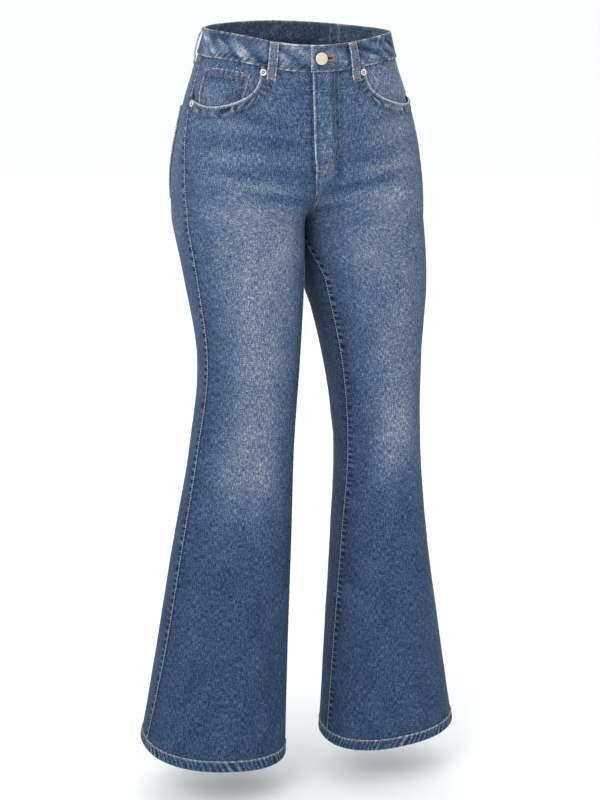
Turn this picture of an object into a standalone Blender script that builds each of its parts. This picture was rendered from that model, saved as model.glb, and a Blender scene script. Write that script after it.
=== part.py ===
"""High-waisted bootcut jeans, filled out and empty, built from their sewn pieces.

Metres, +Z up. +X is the wearer's left and the front faces -Y. The origin is at the
centre of the waist, level with the top edge of the waistband at the sides.
"""

import bmesh
import bpy
import numpy as np
from mathutils import Vector

COLLECTION = "bootcut_jeans"

# Cloth and clearances
DENIM = 0.0012
SEAM_GAP = 0.0003
LAY_GAP = 0.0003

# Levels below the top edge of the waistband, measured at the side
BAND_HEIGHT = 0.036
BAND_THICKNESS = 0.0026
CROTCH = -0.262
HEM_EDGE = -1.030
HEM_HEIGHT = 0.016
HEM_OUT = 0.0009
HEM_THICKNESS = 0.0030

# How far the two legs' rings run into each other above the crotch, and the
# powers of the rounded rings, front and back
FRONT_FORK = 0.080
BACK_FORK = 0.125
FORK_EASE = 1.35
FRONT_POWER = 2.3
BACK_POWER = 2.2

# The waistline dips at the centre front, rises at the centre back and slants up to
# the wearer's right, and this fades out below the pockets
WAIST_DIP = -0.014
WAIST_RISE = 0.004
WAIST_HALF = 0.127
WAIST_BOW = 1.7
WAIST_SLANT = -0.032
TILT_FROM = 0.050
TILT_FADE = 0.130

# The middle of the front stands off to the wearer's right at the waist, and this
# fades out between these depths
TWIST = -0.006
TWIST_FROM = 0.185
TWIST_FADE = 0.075

# The hem hangs higher on the outer side and at the back, from this level down
HEM_TILT_FROM = -0.80
HEM_TILT_OUTER = 0.019
HEM_TILT_BACK = 0.010
HEM_TILT_DEPTH = 0.090

# Rings of the body and legs: half width to the side, depths to the front and
# back, and how far the side seam lies forward of the widest place
BODY_COLUMNS = ("level", "side", "front", "back", "seam_forward")
BODY_SECTIONS = (
    (0.020, 0.1235, 0.081, 0.088, 0.012),
    (-0.040, 0.138, 0.083, 0.121, 0.002),
    (-0.100, 0.158, 0.088, 0.135, 0.007),
    (-0.180, 0.174, 0.094, 0.133, 0.022),
    (-0.255, 0.175, 0.102, 0.122, 0.036),
    (-0.340, 0.169, 0.100, 0.107, 0.038),
    (-0.450, 0.157, 0.084, 0.086, 0.031),
    (-0.580, 0.164, 0.071, 0.070, 0.026),
    (-0.720, 0.185, 0.071, 0.072, 0.026),
    (-0.880, 0.211, 0.079, 0.081, 0.023),
    (-1.030, 0.234, 0.087, 0.088, 0.008),
)

# Rings of the legs alone: half gap between the legs, how far the inseam lies
# forward, the ring's shift to the back, its turn outwards in degrees, and what
# the wearer's left leg has more of at the side, the inseam and in depth
LEG_COLUMNS = ("level", "inner", "inseam_forward", "shift", "turn", "side_more", "inner_more", "depth_more")
LEG_SECTIONS = (
    (-0.262, 0.000, 0.044, 0.000, 0.0, 0.000, 0.000, 0.000),
    (-0.340, 0.007, 0.044, -0.012, 1.7, 0.006, 0.003, 0.001),
    (-0.450, 0.022, 0.035, -0.021, 3.2, 0.008, 0.012, 0.002),
    (-0.580, 0.034, 0.020, -0.022, 4.9, 0.001, 0.017, 0.004),
    (-0.720, 0.035, 0.014, -0.012, 3.6, -0.002, 0.016, 0.005),
    (-0.880, 0.034, 0.012, -0.004, 2.0, -0.001, 0.011, 0.003),
    (-1.030, 0.032, 0.011, -0.004, 0.6, -0.001, 0.004, -0.006),
)
INSEAM_EASE = 0.080

# Soft folds of the cloth: side of the wearer, face, place across the panel from
# the side seam (0) to the centre (1), level, slope, half length, half width, rise
FOLD_COLUMNS = ("side", "face", "across", "level", "slope", "reach", "width", "rise")
FOLDS = (
    (-1, 1, 0.45, -0.168, -0.10, 0.060, 0.012, 0.0016),
    (-1, 1, 0.62, -0.205, -0.22, 0.055, 0.013, 0.0020),
    (-1, 1, 0.80, -0.238, -0.35, 0.045, 0.011, 0.0018),
    (-1, 1, 0.30, -0.235, 0.10, 0.050, 0.014, 0.0014),
    (1, 1, 0.50, -0.178, -0.12, 0.055, 0.012, 0.0015),
    (1, 1, 0.66, -0.215, -0.24, 0.050, 0.013, 0.0021),
    (1, 1, 0.82, -0.246, -0.34, 0.040, 0.011, 0.0017),
    (1, 1, 0.28, -0.228, 0.08, 0.055, 0.014, 0.0013),
    (-1, -1, 0.66, -0.318, 0.35, 0.055, 0.015, 0.0026),
    (-1, -1, 0.72, -0.362, 0.42, 0.050, 0.014, 0.0022),
    (-1, -1, 0.55, -0.545, 0.10, 0.045, 0.014, 0.0021),
    (-1, -1, 0.45, -0.590, -0.12, 0.040, 0.013, 0.0018),
    (1, -1, 0.64, -0.326, 0.33, 0.055, 0.015, 0.0025),
    (1, -1, 0.74, -0.370, 0.40, 0.050, 0.014, 0.0021),
    (1, -1, 0.52, -0.552, 0.12, 0.045, 0.014, 0.0022),
    (1, -1, 0.48, -0.600, -0.10, 0.040, 0.013, 0.0017),
)
FOLD_PANEL = 0.20
FOLD_EDGE = 0.12

# Fly: the wearer's left front stands out and its edge laps just past the seam
FLY_LAP = -0.0015
FLY_LAP_END = -0.160
FLY_LAP_OUT = -0.178
FLY_RAISE = 0.00165
FLY_RAISE_END = -0.200
FLY_FLAT = 0.004
FLY_EASE = 0.031

# Front pocket opening, from the band at the inner corner to the side seam
OPENING_X = 0.073
OPENING_DROP = 0.055
OPENING_SAG = 0.008
OPENING_POWER = 3.7
OPENING_PLACES = (0.0, 0.17, 0.34, 0.50, 0.64, 0.76, 0.86, 0.93, 0.975, 1.0)
FRONT_PLACES = 6
BACK_PLACES = 15
FACING_DEPTH = 0.128
FACING_REACH = 1.22
FACING_IN = -0.0033
FACING_FLUSH = -0.0009

# Yoke seam, at the side and at the centre back
YOKE_SIDE = -0.049
YOKE_CENTRE = -0.105

# Coin pocket on the wearer's right facing, by angle round the ring in degrees, and
# the share by which it narrows to its foot
COIN_FROM = 13.0
COIN_TO = 54.0
COIN_NARROW = 0.15
COIN_TOP = -0.049
COIN_BOTTOM = -0.122

# Back pockets: a plain five-sided patch
POCKET_CENTRE = 0.50
POCKET_TOP = -0.112
POCKET_HALF_TOP = 0.073
POCKET_HALF_LOW = 0.062
POCKET_SIDE = 0.128
POCKET_POINT = 0.024
POCKET_LEAN = 0.006
POCKET_THICKNESS = 0.0016
POCKET_GAP = 0.0007

# Waistband ends, button and its hole
BAND_OVER_X = -0.004
BAND_UNDER_X = 0.036
BAND_OVER_OUT = 0.0015
BAND_UNDER_OUT = -0.0015
BAND_EASE = 0.0115
BAND_LAP_SPARE = 0.0015
HOLE_FROM = 0.0075
HOLE_TO = 0.0285
HOLE_LEVEL = -0.018
HOLE_HALF = 0.0019
BUTTON_X = 0.010
BUTTON_RADIUS = 0.0085
BUTTON_HEIGHT = 0.0028
SHANK_RADIUS = 0.0015
RIVET_RADIUS = 0.0048
RIVET_HEIGHT = 0.0016
RIVET_IN = -0.0025
RIVET_GAP = 0.0005
RIVET_BELOW_BAND = 0.0075
RIVET_BELOW_EDGE = 0.0065
RIVET_ACROSS = 0.045

# Belt loops: width, thickness, how far each runs below the band and stands off
LOOP_WIDTH = 0.012
LOOP_THICKNESS = 0.0018
LOOP_BELOW = 0.0155
LOOP_STAND = 0.0020
LOOP_GAP = 0.0005
LOOP_PROFILE_COLUMNS = ("level", "stand")
LOOP_PROFILE = (
    (-0.001, 0.0),
    (-0.006, 0.1),
    (-0.012, 1.0),
    (-0.021, 1.2),
    (-0.030, 1.1),
    (-0.037, 0.9),
    (-0.043, 0.2),
    (-BAND_HEIGHT - LOOP_BELOW, 0.0),
)
LOOP_COLUMNS = ("name", "angle_top", "angle_low")
LOOPS = (
    ("belt_loop_front_right", -22.0, -22.2),
    ("belt_loop_front_left", 22.0, 22.2),
    ("belt_loop_side_right", -106.5, -107.5),
    ("belt_loop_side_left", 106.5, 107.5),
    ("belt_loop_back", 180.0, 180.0),
)

# Zip and fly shield, behind the fly
ZIP_OUT = -0.0017
ZIP_THICKNESS = 0.0008
ZIP_COLUMNS = (-0.008, 0.0056, 0.0062, 0.0112, 0.0118, 0.018)
ZIP_CHAIN_RISE = 0.0011
ZIP_END = -0.160
SLIDER_LENGTH = 0.009
SLIDER_RISE = 0.0004
SHIELD_OUT = -0.0031
SHIELD_FROM = -0.016
SHIELD_TO = 0.036
SHIELD_END = -0.172

# Colours: red, green, blue, roughness, metallic
DENIM_MID = (0.105, 0.205, 0.385, 0.90, 0.0)
TAPE_BLUE = (0.030, 0.055, 0.110, 0.85, 0.0)
BRASS_PALE = (0.700, 0.640, 0.520, 0.32, 1.0)
NICKEL = (0.720, 0.700, 0.670, 0.30, 1.0)

# Rows of the panels: in the hip, and evenly spaced from here down the legs
HIP_ROWS = (-0.130, -0.145, FLY_LAP_END, FLY_LAP_OUT, FLY_RAISE_END, -0.222, -0.243, CROTCH)
LEG_ROWS_FROM = -0.282
LEG_ROW_COUNT = 21
TOP_ROW_COUNT = 4
YOKE_ROW_COUNT = 5
RELAX_FROM = -0.10
RELAX_OVER = 0.16

# Steps for working out which way the surface faces
STEP_ANGLE = 0.004
STEP_LEVEL = 0.0008


def table(columns, rows):
    """A table's columns by name, each as an array."""
    data = np.array(rows, float)
    return {name: data[:, i] for i, name in enumerate(columns)}


BODY = table(BODY_COLUMNS, BODY_SECTIONS)
LEG = table(LEG_COLUMNS, LEG_SECTIONS)


def smooth_step(t):
    t = np.clip(t, 0.0, 1.0)
    return t * t * (3.0 - 2.0 * t)


def read(columns, name, level):
    """One column at any level, on a smooth curve through the table's rows."""
    x = columns["level"][::-1]
    y = columns[name][::-1]
    slope = np.gradient(y, x)
    at = np.clip(level, x[0], x[-1])
    i = np.clip(np.searchsorted(x, at) - 1, 0, len(x) - 2)
    span = x[i + 1] - x[i]
    t = (at - x[i]) / span
    low = (1 + 2 * t) * (1 - t) ** 2 * y[i] + t * (1 - t) ** 2 * span * slope[i]
    high = t * t * (3 - 2 * t) * y[i + 1] + t * t * (t - 1) * span * slope[i + 1]
    return low + high


def ring(side, face, level):
    """Half width, centre, depth, power and last angle of one side's ring.

    side is 1 on the wearer's left and -1 on the right; face is 1 in front.
    """
    outer = read(BODY, "side", level) + side * read(LEG, "side_more", level)
    inner = read(LEG, "inner", level) + side * read(LEG, "inner_more", level)
    depth = np.where(face > 0, read(BODY, "front", level), read(BODY, "back", level))
    depth = depth + side * read(LEG, "depth_more", level)
    fork = np.where(face > 0, FRONT_FORK, BACK_FORK)
    power = np.where(face > 0, FRONT_POWER, BACK_POWER)
    rise = np.sin(np.pi / 2.0 * np.clip((CROTCH + fork - level) / fork, 0.0, 1.0)) ** FORK_EASE
    reach = rise ** (2.0 / power)
    half = np.where(level > CROTCH, outer / (1.0 + reach), (outer - inner) / 2.0)
    centre = np.where(level > CROTCH, half * reach, (outer + inner) / 2.0)
    last = np.pi / 2.0 + np.arcsin(rise)
    return half, centre, depth, power, last


def fold_rise(side, face, across, level):
    """Height of the soft folds over the plain form."""
    total = np.zeros_like(level)
    for row in FOLDS:
        fold = dict(zip(FOLD_COLUMNS, row))
        along = (across - fold["across"]) * FOLD_PANEL
        down = level - fold["level"] - fold["slope"] * along
        bump = np.exp(-(along / fold["reach"]) ** 2 - (down / fold["width"]) ** 2)
        here = (side == fold["side"]) & (face == fold["face"])
        total += np.where(here, fold["rise"] * bump, 0.0)
    edge = smooth_step(across / FOLD_EDGE) * smooth_step((1.0 - across) / FOLD_EDGE)
    return total * edge


def plain_point(side, face, angle, level):
    """A point of the form at an angle from the side, without folds."""
    over = np.sin(angle) < 0.0
    face_here = np.where(over, -face, face)
    half, centre, depth, power, _ = ring(side, face_here, level)
    cos = np.cos(angle)
    sin = np.abs(np.sin(angle))
    x = half * np.sign(cos) * np.abs(cos) ** (2.0 / power)
    y = -face_here * depth * sin ** (2.0 / power) + read(LEG, "shift", level)
    turn = np.radians(read(LEG, "turn", level))
    x_turned = x * np.cos(turn) - y * np.sin(turn)
    y_turned = x * np.sin(turn) + y * np.cos(turn)
    tilt = 1.0 - smooth_step((-level - TILT_FROM) / TILT_FADE)
    bow = np.clip(1.0 - ((centre + x) / WAIST_HALF) ** 2, 0.0, 1.0) ** WAIST_BOW
    dip = bow * np.where(face_here > 0, WAIST_DIP, WAIST_RISE)
    z = level + tilt * (dip + WAIST_SLANT * side * (centre + x))
    low = np.clip((HEM_TILT_FROM - level) / (HEM_TILT_FROM - HEM_EDGE), 0.0, 1.0) ** 2
    z = z + low * (HEM_TILT_OUTER * (0.5 + 0.5 * x / half) + HEM_TILT_BACK * y / HEM_TILT_DEPTH)
    twist = TWIST * (1.0 - smooth_step((-level - TWIST_FROM) / TWIST_FADE)) * bow * (face_here > 0)
    return np.stack([side * (centre + x_turned) + twist, y_turned, z], -1)


def form(side, face, angle, level, out=0.0):
    """A point of the form, moved out along its normal by out and its folds."""
    side, face, angle, level = np.broadcast_arrays(side, face, angle, level)
    angle = angle.astype(float)
    level = level.astype(float)
    point = plain_point(side, face, angle, level)
    round_it = plain_point(side, face, angle + STEP_ANGLE, level) - plain_point(side, face, angle - STEP_ANGLE, level)
    up = plain_point(side, face, angle, level + STEP_LEVEL) - plain_point(side, face, angle, level - STEP_LEVEL)
    normal = np.cross(round_it, up) * (-side * face)[..., None]
    normal = normal / np.linalg.norm(normal, axis=-1, keepdims=True)
    first, last = seams(side, face, level)
    across = np.clip((angle - first) / (last - first), 0.0, 1.0)
    lift = fold_rise(side, face, across, level) + out
    return point + normal * lift[..., None]


def seams(side, face, level):
    """Angles of the side seam and of the centre seam or inseam."""
    front_depth = read(BODY, "front", level) + side * read(LEG, "depth_more", level)
    first = np.arcsin(read(BODY, "seam_forward", level) / front_depth)
    inset = np.arcsin(read(LEG, "inseam_forward", level) / front_depth)
    inset = inset * smooth_step((CROTCH - level) / INSEAM_EASE)
    last = ring(side, face, level)[4]
    return face * first, last - face * inset


def angle_at_x(side, face, x, level):
    """The angle where the ring above the legs stands at a distance x out."""
    half, centre, _, power, _ = ring(side, face, level)
    cos = (x - centre) / half
    return np.arccos(np.sign(cos) * np.abs(cos) ** (power / 2.0))


def waist(theta, level, out=0.0):
    """A point round the waist: 0 at the centre front, positive to the wearer's left."""
    theta, level = np.broadcast_arrays(theta, level)
    theta = (theta + np.pi) % (2.0 * np.pi) - np.pi
    side = np.where(theta < 0.0, -1, 1)
    turn = np.abs(theta)
    face = np.where(turn < np.pi / 2.0, 1, -1)
    return form(side, face, np.abs(turn - np.pi / 2.0), level, out)


def theta_at_x(x, level):
    """Angle round the waist at a signed distance from the centre front."""
    angle = angle_at_x(1, 1, np.abs(x), level)
    return np.sign(x) * (np.pi / 2.0 - angle)


def x_at_theta(theta, level):
    """Signed distance from the centre front at an angle round the waist."""
    theta = (theta + np.pi) % (2.0 * np.pi) - np.pi
    half, _, _, power, _ = ring(1, 1, level)
    return half * np.sign(theta) * np.abs(np.sin(theta)) ** (2.0 / power)


def material(name, values):
    red, green, blue, roughness, metallic = values
    made = bpy.data.materials.new(name)
    made.use_nodes = True
    shader = made.node_tree.nodes["Principled BSDF"]
    shader.inputs["Base Color"].default_value = (red, green, blue, 1.0)
    shader.inputs["Roughness"].default_value = roughness
    shader.inputs["Metallic"].default_value = metallic
    made.diffuse_color = (red, green, blue, 1.0)
    return made


def add_object(name, mesh, colour):
    mesh.materials.append(material(name, colour))
    made = bpy.data.objects.new(name, mesh)
    bpy.data.collections[COLLECTION].objects.link(made)
    return made


def wall(name, outer, inner, colour, hole=None, closed=False):
    """A closed cloth wall between two grids of points, rows by columns by xyz.

    hole is a first and last row and a first and last column of faces left out.
    A closed wall's last column falls on its first.
    """
    rows, columns = outer.shape[:2]
    bm = bmesh.new()
    bmesh.ops.create_grid(bm, x_segments=columns - 1, y_segments=rows - 1, size=1.0)
    place = bm.verts.layers.int.new("place")
    outer_points = outer.reshape(-1, 3)
    inner_points = inner.reshape(-1, 3)
    for index, vertex in enumerate(bm.verts):
        vertex[place] = index
        vertex.co = outer_points[index]
    if hole:
        row_from, row_to, column_from, column_to = hole
        bm.faces.ensure_lookup_table()
        cut = [bm.faces[r * (columns - 1) + c]
               for r in range(row_from, row_to) for c in range(column_from, column_to)]
        bmesh.ops.delete(bm, geom=cut, context="FACES")
    if closed:
        bmesh.ops.remove_doubles(bm, verts=bm.verts, dist=1e-6)
    sheet = bm.verts[:] + bm.edges[:] + bm.faces[:]
    made = bmesh.ops.extrude_face_region(bm, geom=sheet, use_keep_orig=True)
    for vertex in made["geom"]:
        if isinstance(vertex, bmesh.types.BMVert):
            vertex.co = inner_points[vertex[place]]
    bmesh.ops.recalc_face_normals(bm, faces=bm.faces)
    for face in bm.faces:
        face.smooth = True
    mesh = bpy.data.meshes.new(name)
    bm.to_mesh(mesh)
    bm.free()
    made = add_object(name, mesh, colour)
    mesh.set_sharp_from_angle(angle=np.radians(50.0))
    return made


def turned(name, profile, point, normal, colour, steps=24):
    """A round piece from a profile of radius and height, set on a point and normal."""
    mesh = bpy.data.meshes.new(name)
    corners = [(radius, 0.0, height) for radius, height in profile]
    mesh.from_pydata(corners, [(i, i + 1) for i in range(len(corners) - 1)], [])
    made = add_object(name, mesh, colour)
    made.location = Vector(point)
    made.rotation_euler = Vector(normal).to_track_quat("Z", "Y").to_euler()
    screw = made.modifiers.new("turn", "SCREW")
    screw.steps = steps
    screw.render_steps = steps
    screw.use_merge_vertices = True
    screw.merge_threshold = 0.00001
    screw.use_smooth_shade = True
    return made


def point_and_normal(side, face, angle, level, out):
    """A place on the form and the direction out of it."""
    base = form(side, face, angle, level, out)
    top = form(side, face, angle, level, out + 0.001)
    return base, (top - base) / 0.001


def leg_levels():
    """Levels of the rows that the front and the back share."""
    leg = np.linspace(LEG_ROWS_FROM, HEM_EDGE + HEM_HEIGHT + SEAM_GAP, LEG_ROW_COUNT)
    return np.concatenate([HIP_ROWS, leg])


def part_points(side, face, points):
    """Half a seam gap between the fronts and backs and between the sides."""
    shift = np.array([side, -face, 0.0]) * SEAM_GAP / 2.0
    return points + shift


def front_seams(side, level):
    """Angles of a front's two edges: the wearer's left one laps past the centre."""
    first, last = seams(side, 1, level)
    if side > 0:
        past = FLY_LAP * smooth_step((level - FLY_LAP_OUT) / (FLY_LAP_END - FLY_LAP_OUT))
        lap = angle_at_x(side, 1, past, np.maximum(level, CROTCH + FRONT_FORK))
        last = np.where(level > FLY_LAP_OUT, lap, last)
    return first, last


def fly_raise(x, level):
    """How far the fly stands out over the wearer's right front."""
    across = 1.0 - smooth_step((x - FLY_FLAT) / (FLY_EASE - FLY_FLAT))
    down = smooth_step((level - FLY_RAISE_END) / (FLY_LAP_OUT - FLY_RAISE_END))
    return FLY_RAISE * across * down


def opening_fraction(side):
    """Where the pocket opening meets the band, across the front."""
    level = -BAND_HEIGHT
    first, last = front_seams(side, level)
    return float((angle_at_x(side, 1, OPENING_X, level) - first) / (last - first))


def opening_columns(side):
    """Places across the front at its top edge, and the edge's drop at each."""
    corner = opening_fraction(side)
    places = np.array(OPENING_PLACES)
    drop = OPENING_DROP + OPENING_SAG * np.sin(np.pi * places)
    drop = drop * (1.0 - places ** OPENING_POWER) ** (1.0 / OPENING_POWER)
    flat = np.linspace(corner, 1.0, FRONT_PLACES + 1)[1:]
    return np.concatenate([corner * places, flat]), np.concatenate([drop, np.zeros(FRONT_PLACES)])


def front_panel(name, side):
    across_top, drop = opening_columns(side)
    even = np.linspace(0.0, 1.0, len(across_top))
    top = -(BAND_HEIGHT + SEAM_GAP) - drop
    shared = leg_levels()
    upper = np.linspace(0.0, 1.0, TOP_ROW_COUNT + 1)[:-1, None]
    level = np.concatenate([top + (shared[0] - top) * upper, np.repeat(shared[:, None], len(top), 1)])
    relax = smooth_step((RELAX_FROM - level) / RELAX_OVER)
    across = across_top + (even - across_top) * relax
    first, last = front_seams(side, level)
    angle = first + (last - first) * across
    raised = np.zeros_like(level)
    if side > 0:
        raised = fly_raise(form(side, 1, angle, level)[..., 0], level)
    outer = part_points(side, 1, form(side, 1, angle, level, raised))
    inner = part_points(side, 1, form(side, 1, angle, level, raised - DENIM))
    return wall(name, outer, inner, DENIM_MID)


def yoke_level(across):
    """Level of the yoke seam across the back, from the side to the centre."""
    return YOKE_SIDE + (YOKE_CENTRE - YOKE_SIDE) * across


def back_panel(name, side):
    even = np.linspace(0.0, 1.0, BACK_PLACES + 1)
    top = yoke_level(even) - SEAM_GAP / 2.0
    shared = leg_levels()
    upper = np.linspace(0.0, 1.0, YOKE_ROW_COUNT + 1)[:-1, None]
    level = np.concatenate([top + (shared[0] - top) * upper, np.repeat(shared[:, None], len(top), 1)])
    first, last = seams(side, -1, level)
    angle = first + (last - first) * even
    outer = part_points(side, -1, form(side, -1, angle, level))
    inner = part_points(side, -1, form(side, -1, angle, level, -DENIM))
    return wall(name, outer, inner, DENIM_MID)


def yoke(name, side):
    even = np.linspace(0.0, 1.0, BACK_PLACES + 1)
    top = -(BAND_HEIGHT + SEAM_GAP)
    bottom = yoke_level(even) + SEAM_GAP / 2.0
    level = top + (bottom - top) * np.linspace(0.0, 1.0, 4)[:, None]
    first, last = seams(side, -1, level)
    angle = first + (last - first) * even
    outer = part_points(side, -1, form(side, -1, angle, level))
    inner = part_points(side, -1, form(side, -1, angle, level, -DENIM))
    return wall(name, outer, inner, DENIM_MID)


def facing_out(side, angle, level):
    """How deep the pocket facing lies: flush at the corner, sunk by the opening."""
    first, last = seams(side, 1, level)
    across = (angle - first) / (last - first) / opening_fraction(side)
    down = (-level - BAND_HEIGHT) / OPENING_DROP
    away = (np.clip(across, 0.0, 2.0) ** 2 + np.clip(down, 0.0, 2.0) ** 2) ** 0.5
    return FACING_FLUSH + (FACING_IN - FACING_FLUSH) * smooth_step((away - 0.30) / 0.45)


def pocket_facing(name, side):
    """The denim piece that shows inside the front pocket opening."""
    level = np.linspace(-(BAND_HEIGHT + SEAM_GAP), -FACING_DEPTH, 8)[:, None]
    first, last = seams(side, 1, level)
    reach = opening_fraction(side) * FACING_REACH
    angle = first + (last - first) * reach * np.linspace(0.0, 1.0, 13)
    level = np.repeat(level, 13, 1)
    out = facing_out(side, angle, level)
    outer = part_points(side, 1, form(side, 1, angle, level, out))
    inner = part_points(side, 1, form(side, 1, angle, level, out - DENIM))
    return wall(name, outer, inner, DENIM_MID)


def coin_pocket(name):
    """The small patch pocket on the wearer's right facing."""
    side = -1
    level = np.linspace(COIN_TOP, COIN_BOTTOM, 7)[:, None]
    middle = (COIN_FROM + COIN_TO) / 2.0
    narrow = 1.0 - COIN_NARROW * (COIN_TOP - level) / (COIN_TOP - COIN_BOTTOM)
    angle = np.radians(middle + (np.linspace(COIN_FROM, COIN_TO, 9) - middle) * narrow)
    angle, level = np.broadcast_arrays(angle, level)
    out = facing_out(side, angle, level) + LAY_GAP + 0.0001
    outer = part_points(side, 1, form(side, 1, angle, level, out + 0.0010))
    inner = part_points(side, 1, form(side, 1, angle, level, out))
    return wall(name, outer, inner, DENIM_MID)


def back_pocket(name, side):
    """A plain patch: two straight sides, a level top and a low blunt point."""
    down = np.linspace(0.0, 1.0, 10)[:, None]
    wide = np.linspace(-1.0, 1.0, 17)
    bottom = POCKET_SIDE + POCKET_POINT * (1.0 - np.abs(wide))
    drop = down * bottom
    half = POCKET_HALF_TOP + (POCKET_HALF_LOW - POCKET_HALF_TOP) * drop / POCKET_SIDE
    level = POCKET_TOP - drop - POCKET_LEAN * wide
    first, last = seams(side, -1, level)
    width = back_width(side)
    across = POCKET_CENTRE + wide * half / width
    angle = first + (last - first) * across
    outer = part_points(side, -1, form(side, -1, angle, level, POCKET_GAP + POCKET_THICKNESS))
    inner = part_points(side, -1, form(side, -1, angle, level, POCKET_GAP))
    return wall(name, outer, inner, DENIM_MID)


def back_width(side):
    """Length round the back from the side seam to the centre, at the pockets."""
    level = POCKET_TOP - POCKET_SIDE / 2.0
    first, last = seams(side, -1, level)
    arc = form(side, -1, np.linspace(first, last, 60), level)
    return float(np.linalg.norm(np.diff(arc, axis=0), axis=1).sum())


def waistband(name):
    """One strip round the waist, its wearer's left end lapped over the right one."""
    under = theta_at_x(BAND_UNDER_X, HOLE_LEVEL)
    over = theta_at_x(BAND_OVER_X, HOLE_LEVEL)
    hole_far = theta_at_x(HOLE_TO, HOLE_LEVEL)
    hole_near = theta_at_x(HOLE_FROM, HOLE_LEVEL)
    start = np.linspace(under, 0.0, 4)[:-1]
    round_it = np.linspace(0.0, -2.0 * np.pi + hole_far, 58)[:-1]
    hole = -2.0 * np.pi + np.linspace(hole_far, hole_near, 4)
    end = np.array([-2.0 * np.pi + over])
    theta = np.concatenate([start, round_it, hole, end])
    level = np.array([0.0, -0.0085, HOLE_LEVEL + HOLE_HALF, HOLE_LEVEL - HOLE_HALF, -0.028, -BAND_HEIGHT])
    x = x_at_theta(theta, HOLE_LEVEL)
    past_under = smooth_step((BAND_OVER_X - BAND_LAP_SPARE - x) / BAND_EASE)
    past_over = smooth_step((x - BAND_UNDER_X - BAND_LAP_SPARE) / BAND_EASE)
    lap = np.where(theta > -np.pi / 2.0, BAND_UNDER_OUT * (1.0 - past_under), 0.0)
    lap = np.where(theta < -1.5 * np.pi, BAND_OVER_OUT * (1.0 - past_over), lap)
    outer = waist(theta, level[:, None], lap + BAND_THICKNESS / 2.0)
    inner = waist(theta, level[:, None], lap - BAND_THICKNESS / 2.0)
    first_face = len(start) + len(round_it)
    return wall(name, outer, inner, DENIM_MID, hole=(2, 3, first_face, first_face + 3))


def belt_loop(name, angle_top, angle_low):
    """A folded strip, held at the band's top edge and just below the band."""
    band_out = BAND_THICKNESS / 2.0 + LAY_GAP
    profile = table(LOOP_PROFILE_COLUMNS, LOOP_PROFILE)
    level = profile["level"]
    base = np.where(level > -BAND_HEIGHT - 0.003, band_out, LOOP_GAP)
    out = base + profile["stand"] * LOOP_STAND
    theta = np.radians(angle_top + (angle_low - angle_top) * level / level[-1])
    middle = waist(theta, level)
    beside = waist(theta + 0.01, level)
    per_metre = 0.01 / np.linalg.norm(beside - middle, axis=-1)
    spread = np.linspace(-LOOP_WIDTH / 2.0, LOOP_WIDTH / 2.0, 4)
    theta = theta[:, None] + per_metre[:, None] * spread
    level = np.repeat(level[:, None], len(spread), 1)
    outer = waist(theta, level, out[:, None] + LOOP_THICKNESS)
    inner = waist(theta, level, out[:, None] + 0.0 * level)
    return wall(name, outer, inner, DENIM_MID)


def hem(name, side):
    """The turned-up end of a leg, a thicker ring right round it."""
    count = 30
    level = np.linspace(HEM_EDGE + HEM_HEIGHT, HEM_EDGE, 3)[:, None]
    angle = np.linspace(0.0, 2.0 * np.pi, count + 1)
    angle, level = np.broadcast_arrays(angle, level)
    outer = form(side, 1, angle, level, HEM_OUT)
    inner = form(side, 1, angle, level, HEM_OUT - HEM_THICKNESS)
    outer[:, -1] = outer[:, 0]
    inner[:, -1] = inner[:, 0]
    return wall(name, outer, inner, DENIM_MID, closed=True)


def fly_shield(name):
    """The flap behind the zip, sewn to the wearer's right front."""
    level = np.linspace(-(BAND_HEIGHT + 2.0 * SEAM_GAP), SHIELD_END, 8)[:, None]
    x = np.linspace(SHIELD_FROM, SHIELD_TO, 7)
    theta = theta_at_x(x, level)
    outer = waist(theta, level, SHIELD_OUT)
    inner = waist(theta, level, SHIELD_OUT - DENIM)
    return wall(name, outer, inner, DENIM_MID)


def zip_fastener(name):
    """The closed zip: its two tapes, the raised chain and the slider at the top."""
    top = -(BAND_HEIGHT + 2.0 * SEAM_GAP)
    slider = np.array([0.0, SLIDER_LENGTH, SLIDER_LENGTH + 0.001])
    level = np.concatenate([top - slider, np.linspace(top - 0.026, ZIP_END, 6)])[:, None]
    x = np.array(ZIP_COLUMNS)
    theta = theta_at_x(x, level)
    chain = np.array([0.0, 0.0, 1.0, 1.0, 0.0, 0.0]) * ZIP_CHAIN_RISE
    rise = np.repeat(chain[None], len(level), 0)
    rise[:2, 2:4] += SLIDER_RISE
    outer = waist(theta, level, ZIP_OUT + rise)
    inner = waist(theta, level, ZIP_OUT - ZIP_THICKNESS)
    return wall(name, outer, inner, TAPE_BLUE)


def button(name):
    """A slightly domed button on a shank that comes through the buttonhole."""
    angle = angle_at_x(1, 1, BUTTON_X, HOLE_LEVEL)
    foot = BAND_UNDER_OUT + BAND_THICKNESS / 2.0 + LAY_GAP
    under = BAND_OVER_OUT + BAND_THICKNESS / 2.0 + 2.0 * LAY_GAP - foot
    top = under + BUTTON_HEIGHT
    edge = BUTTON_RADIUS
    profile = (
        (0.0, top), (edge * 0.45, top - 0.0001), (edge * 0.78, top - 0.0004), (edge * 0.94, top - 0.0009),
        (edge, top - 0.0016), (edge * 0.97, under + 0.0004), (edge * 0.80, under),
        (SHANK_RADIUS, under), (SHANK_RADIUS, 0.0), (0.0, 0.0),
    )
    point, normal = point_and_normal(1, 1, angle, HOLE_LEVEL, foot)
    return turned(name, profile, point, normal, BRASS_PALE)


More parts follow.
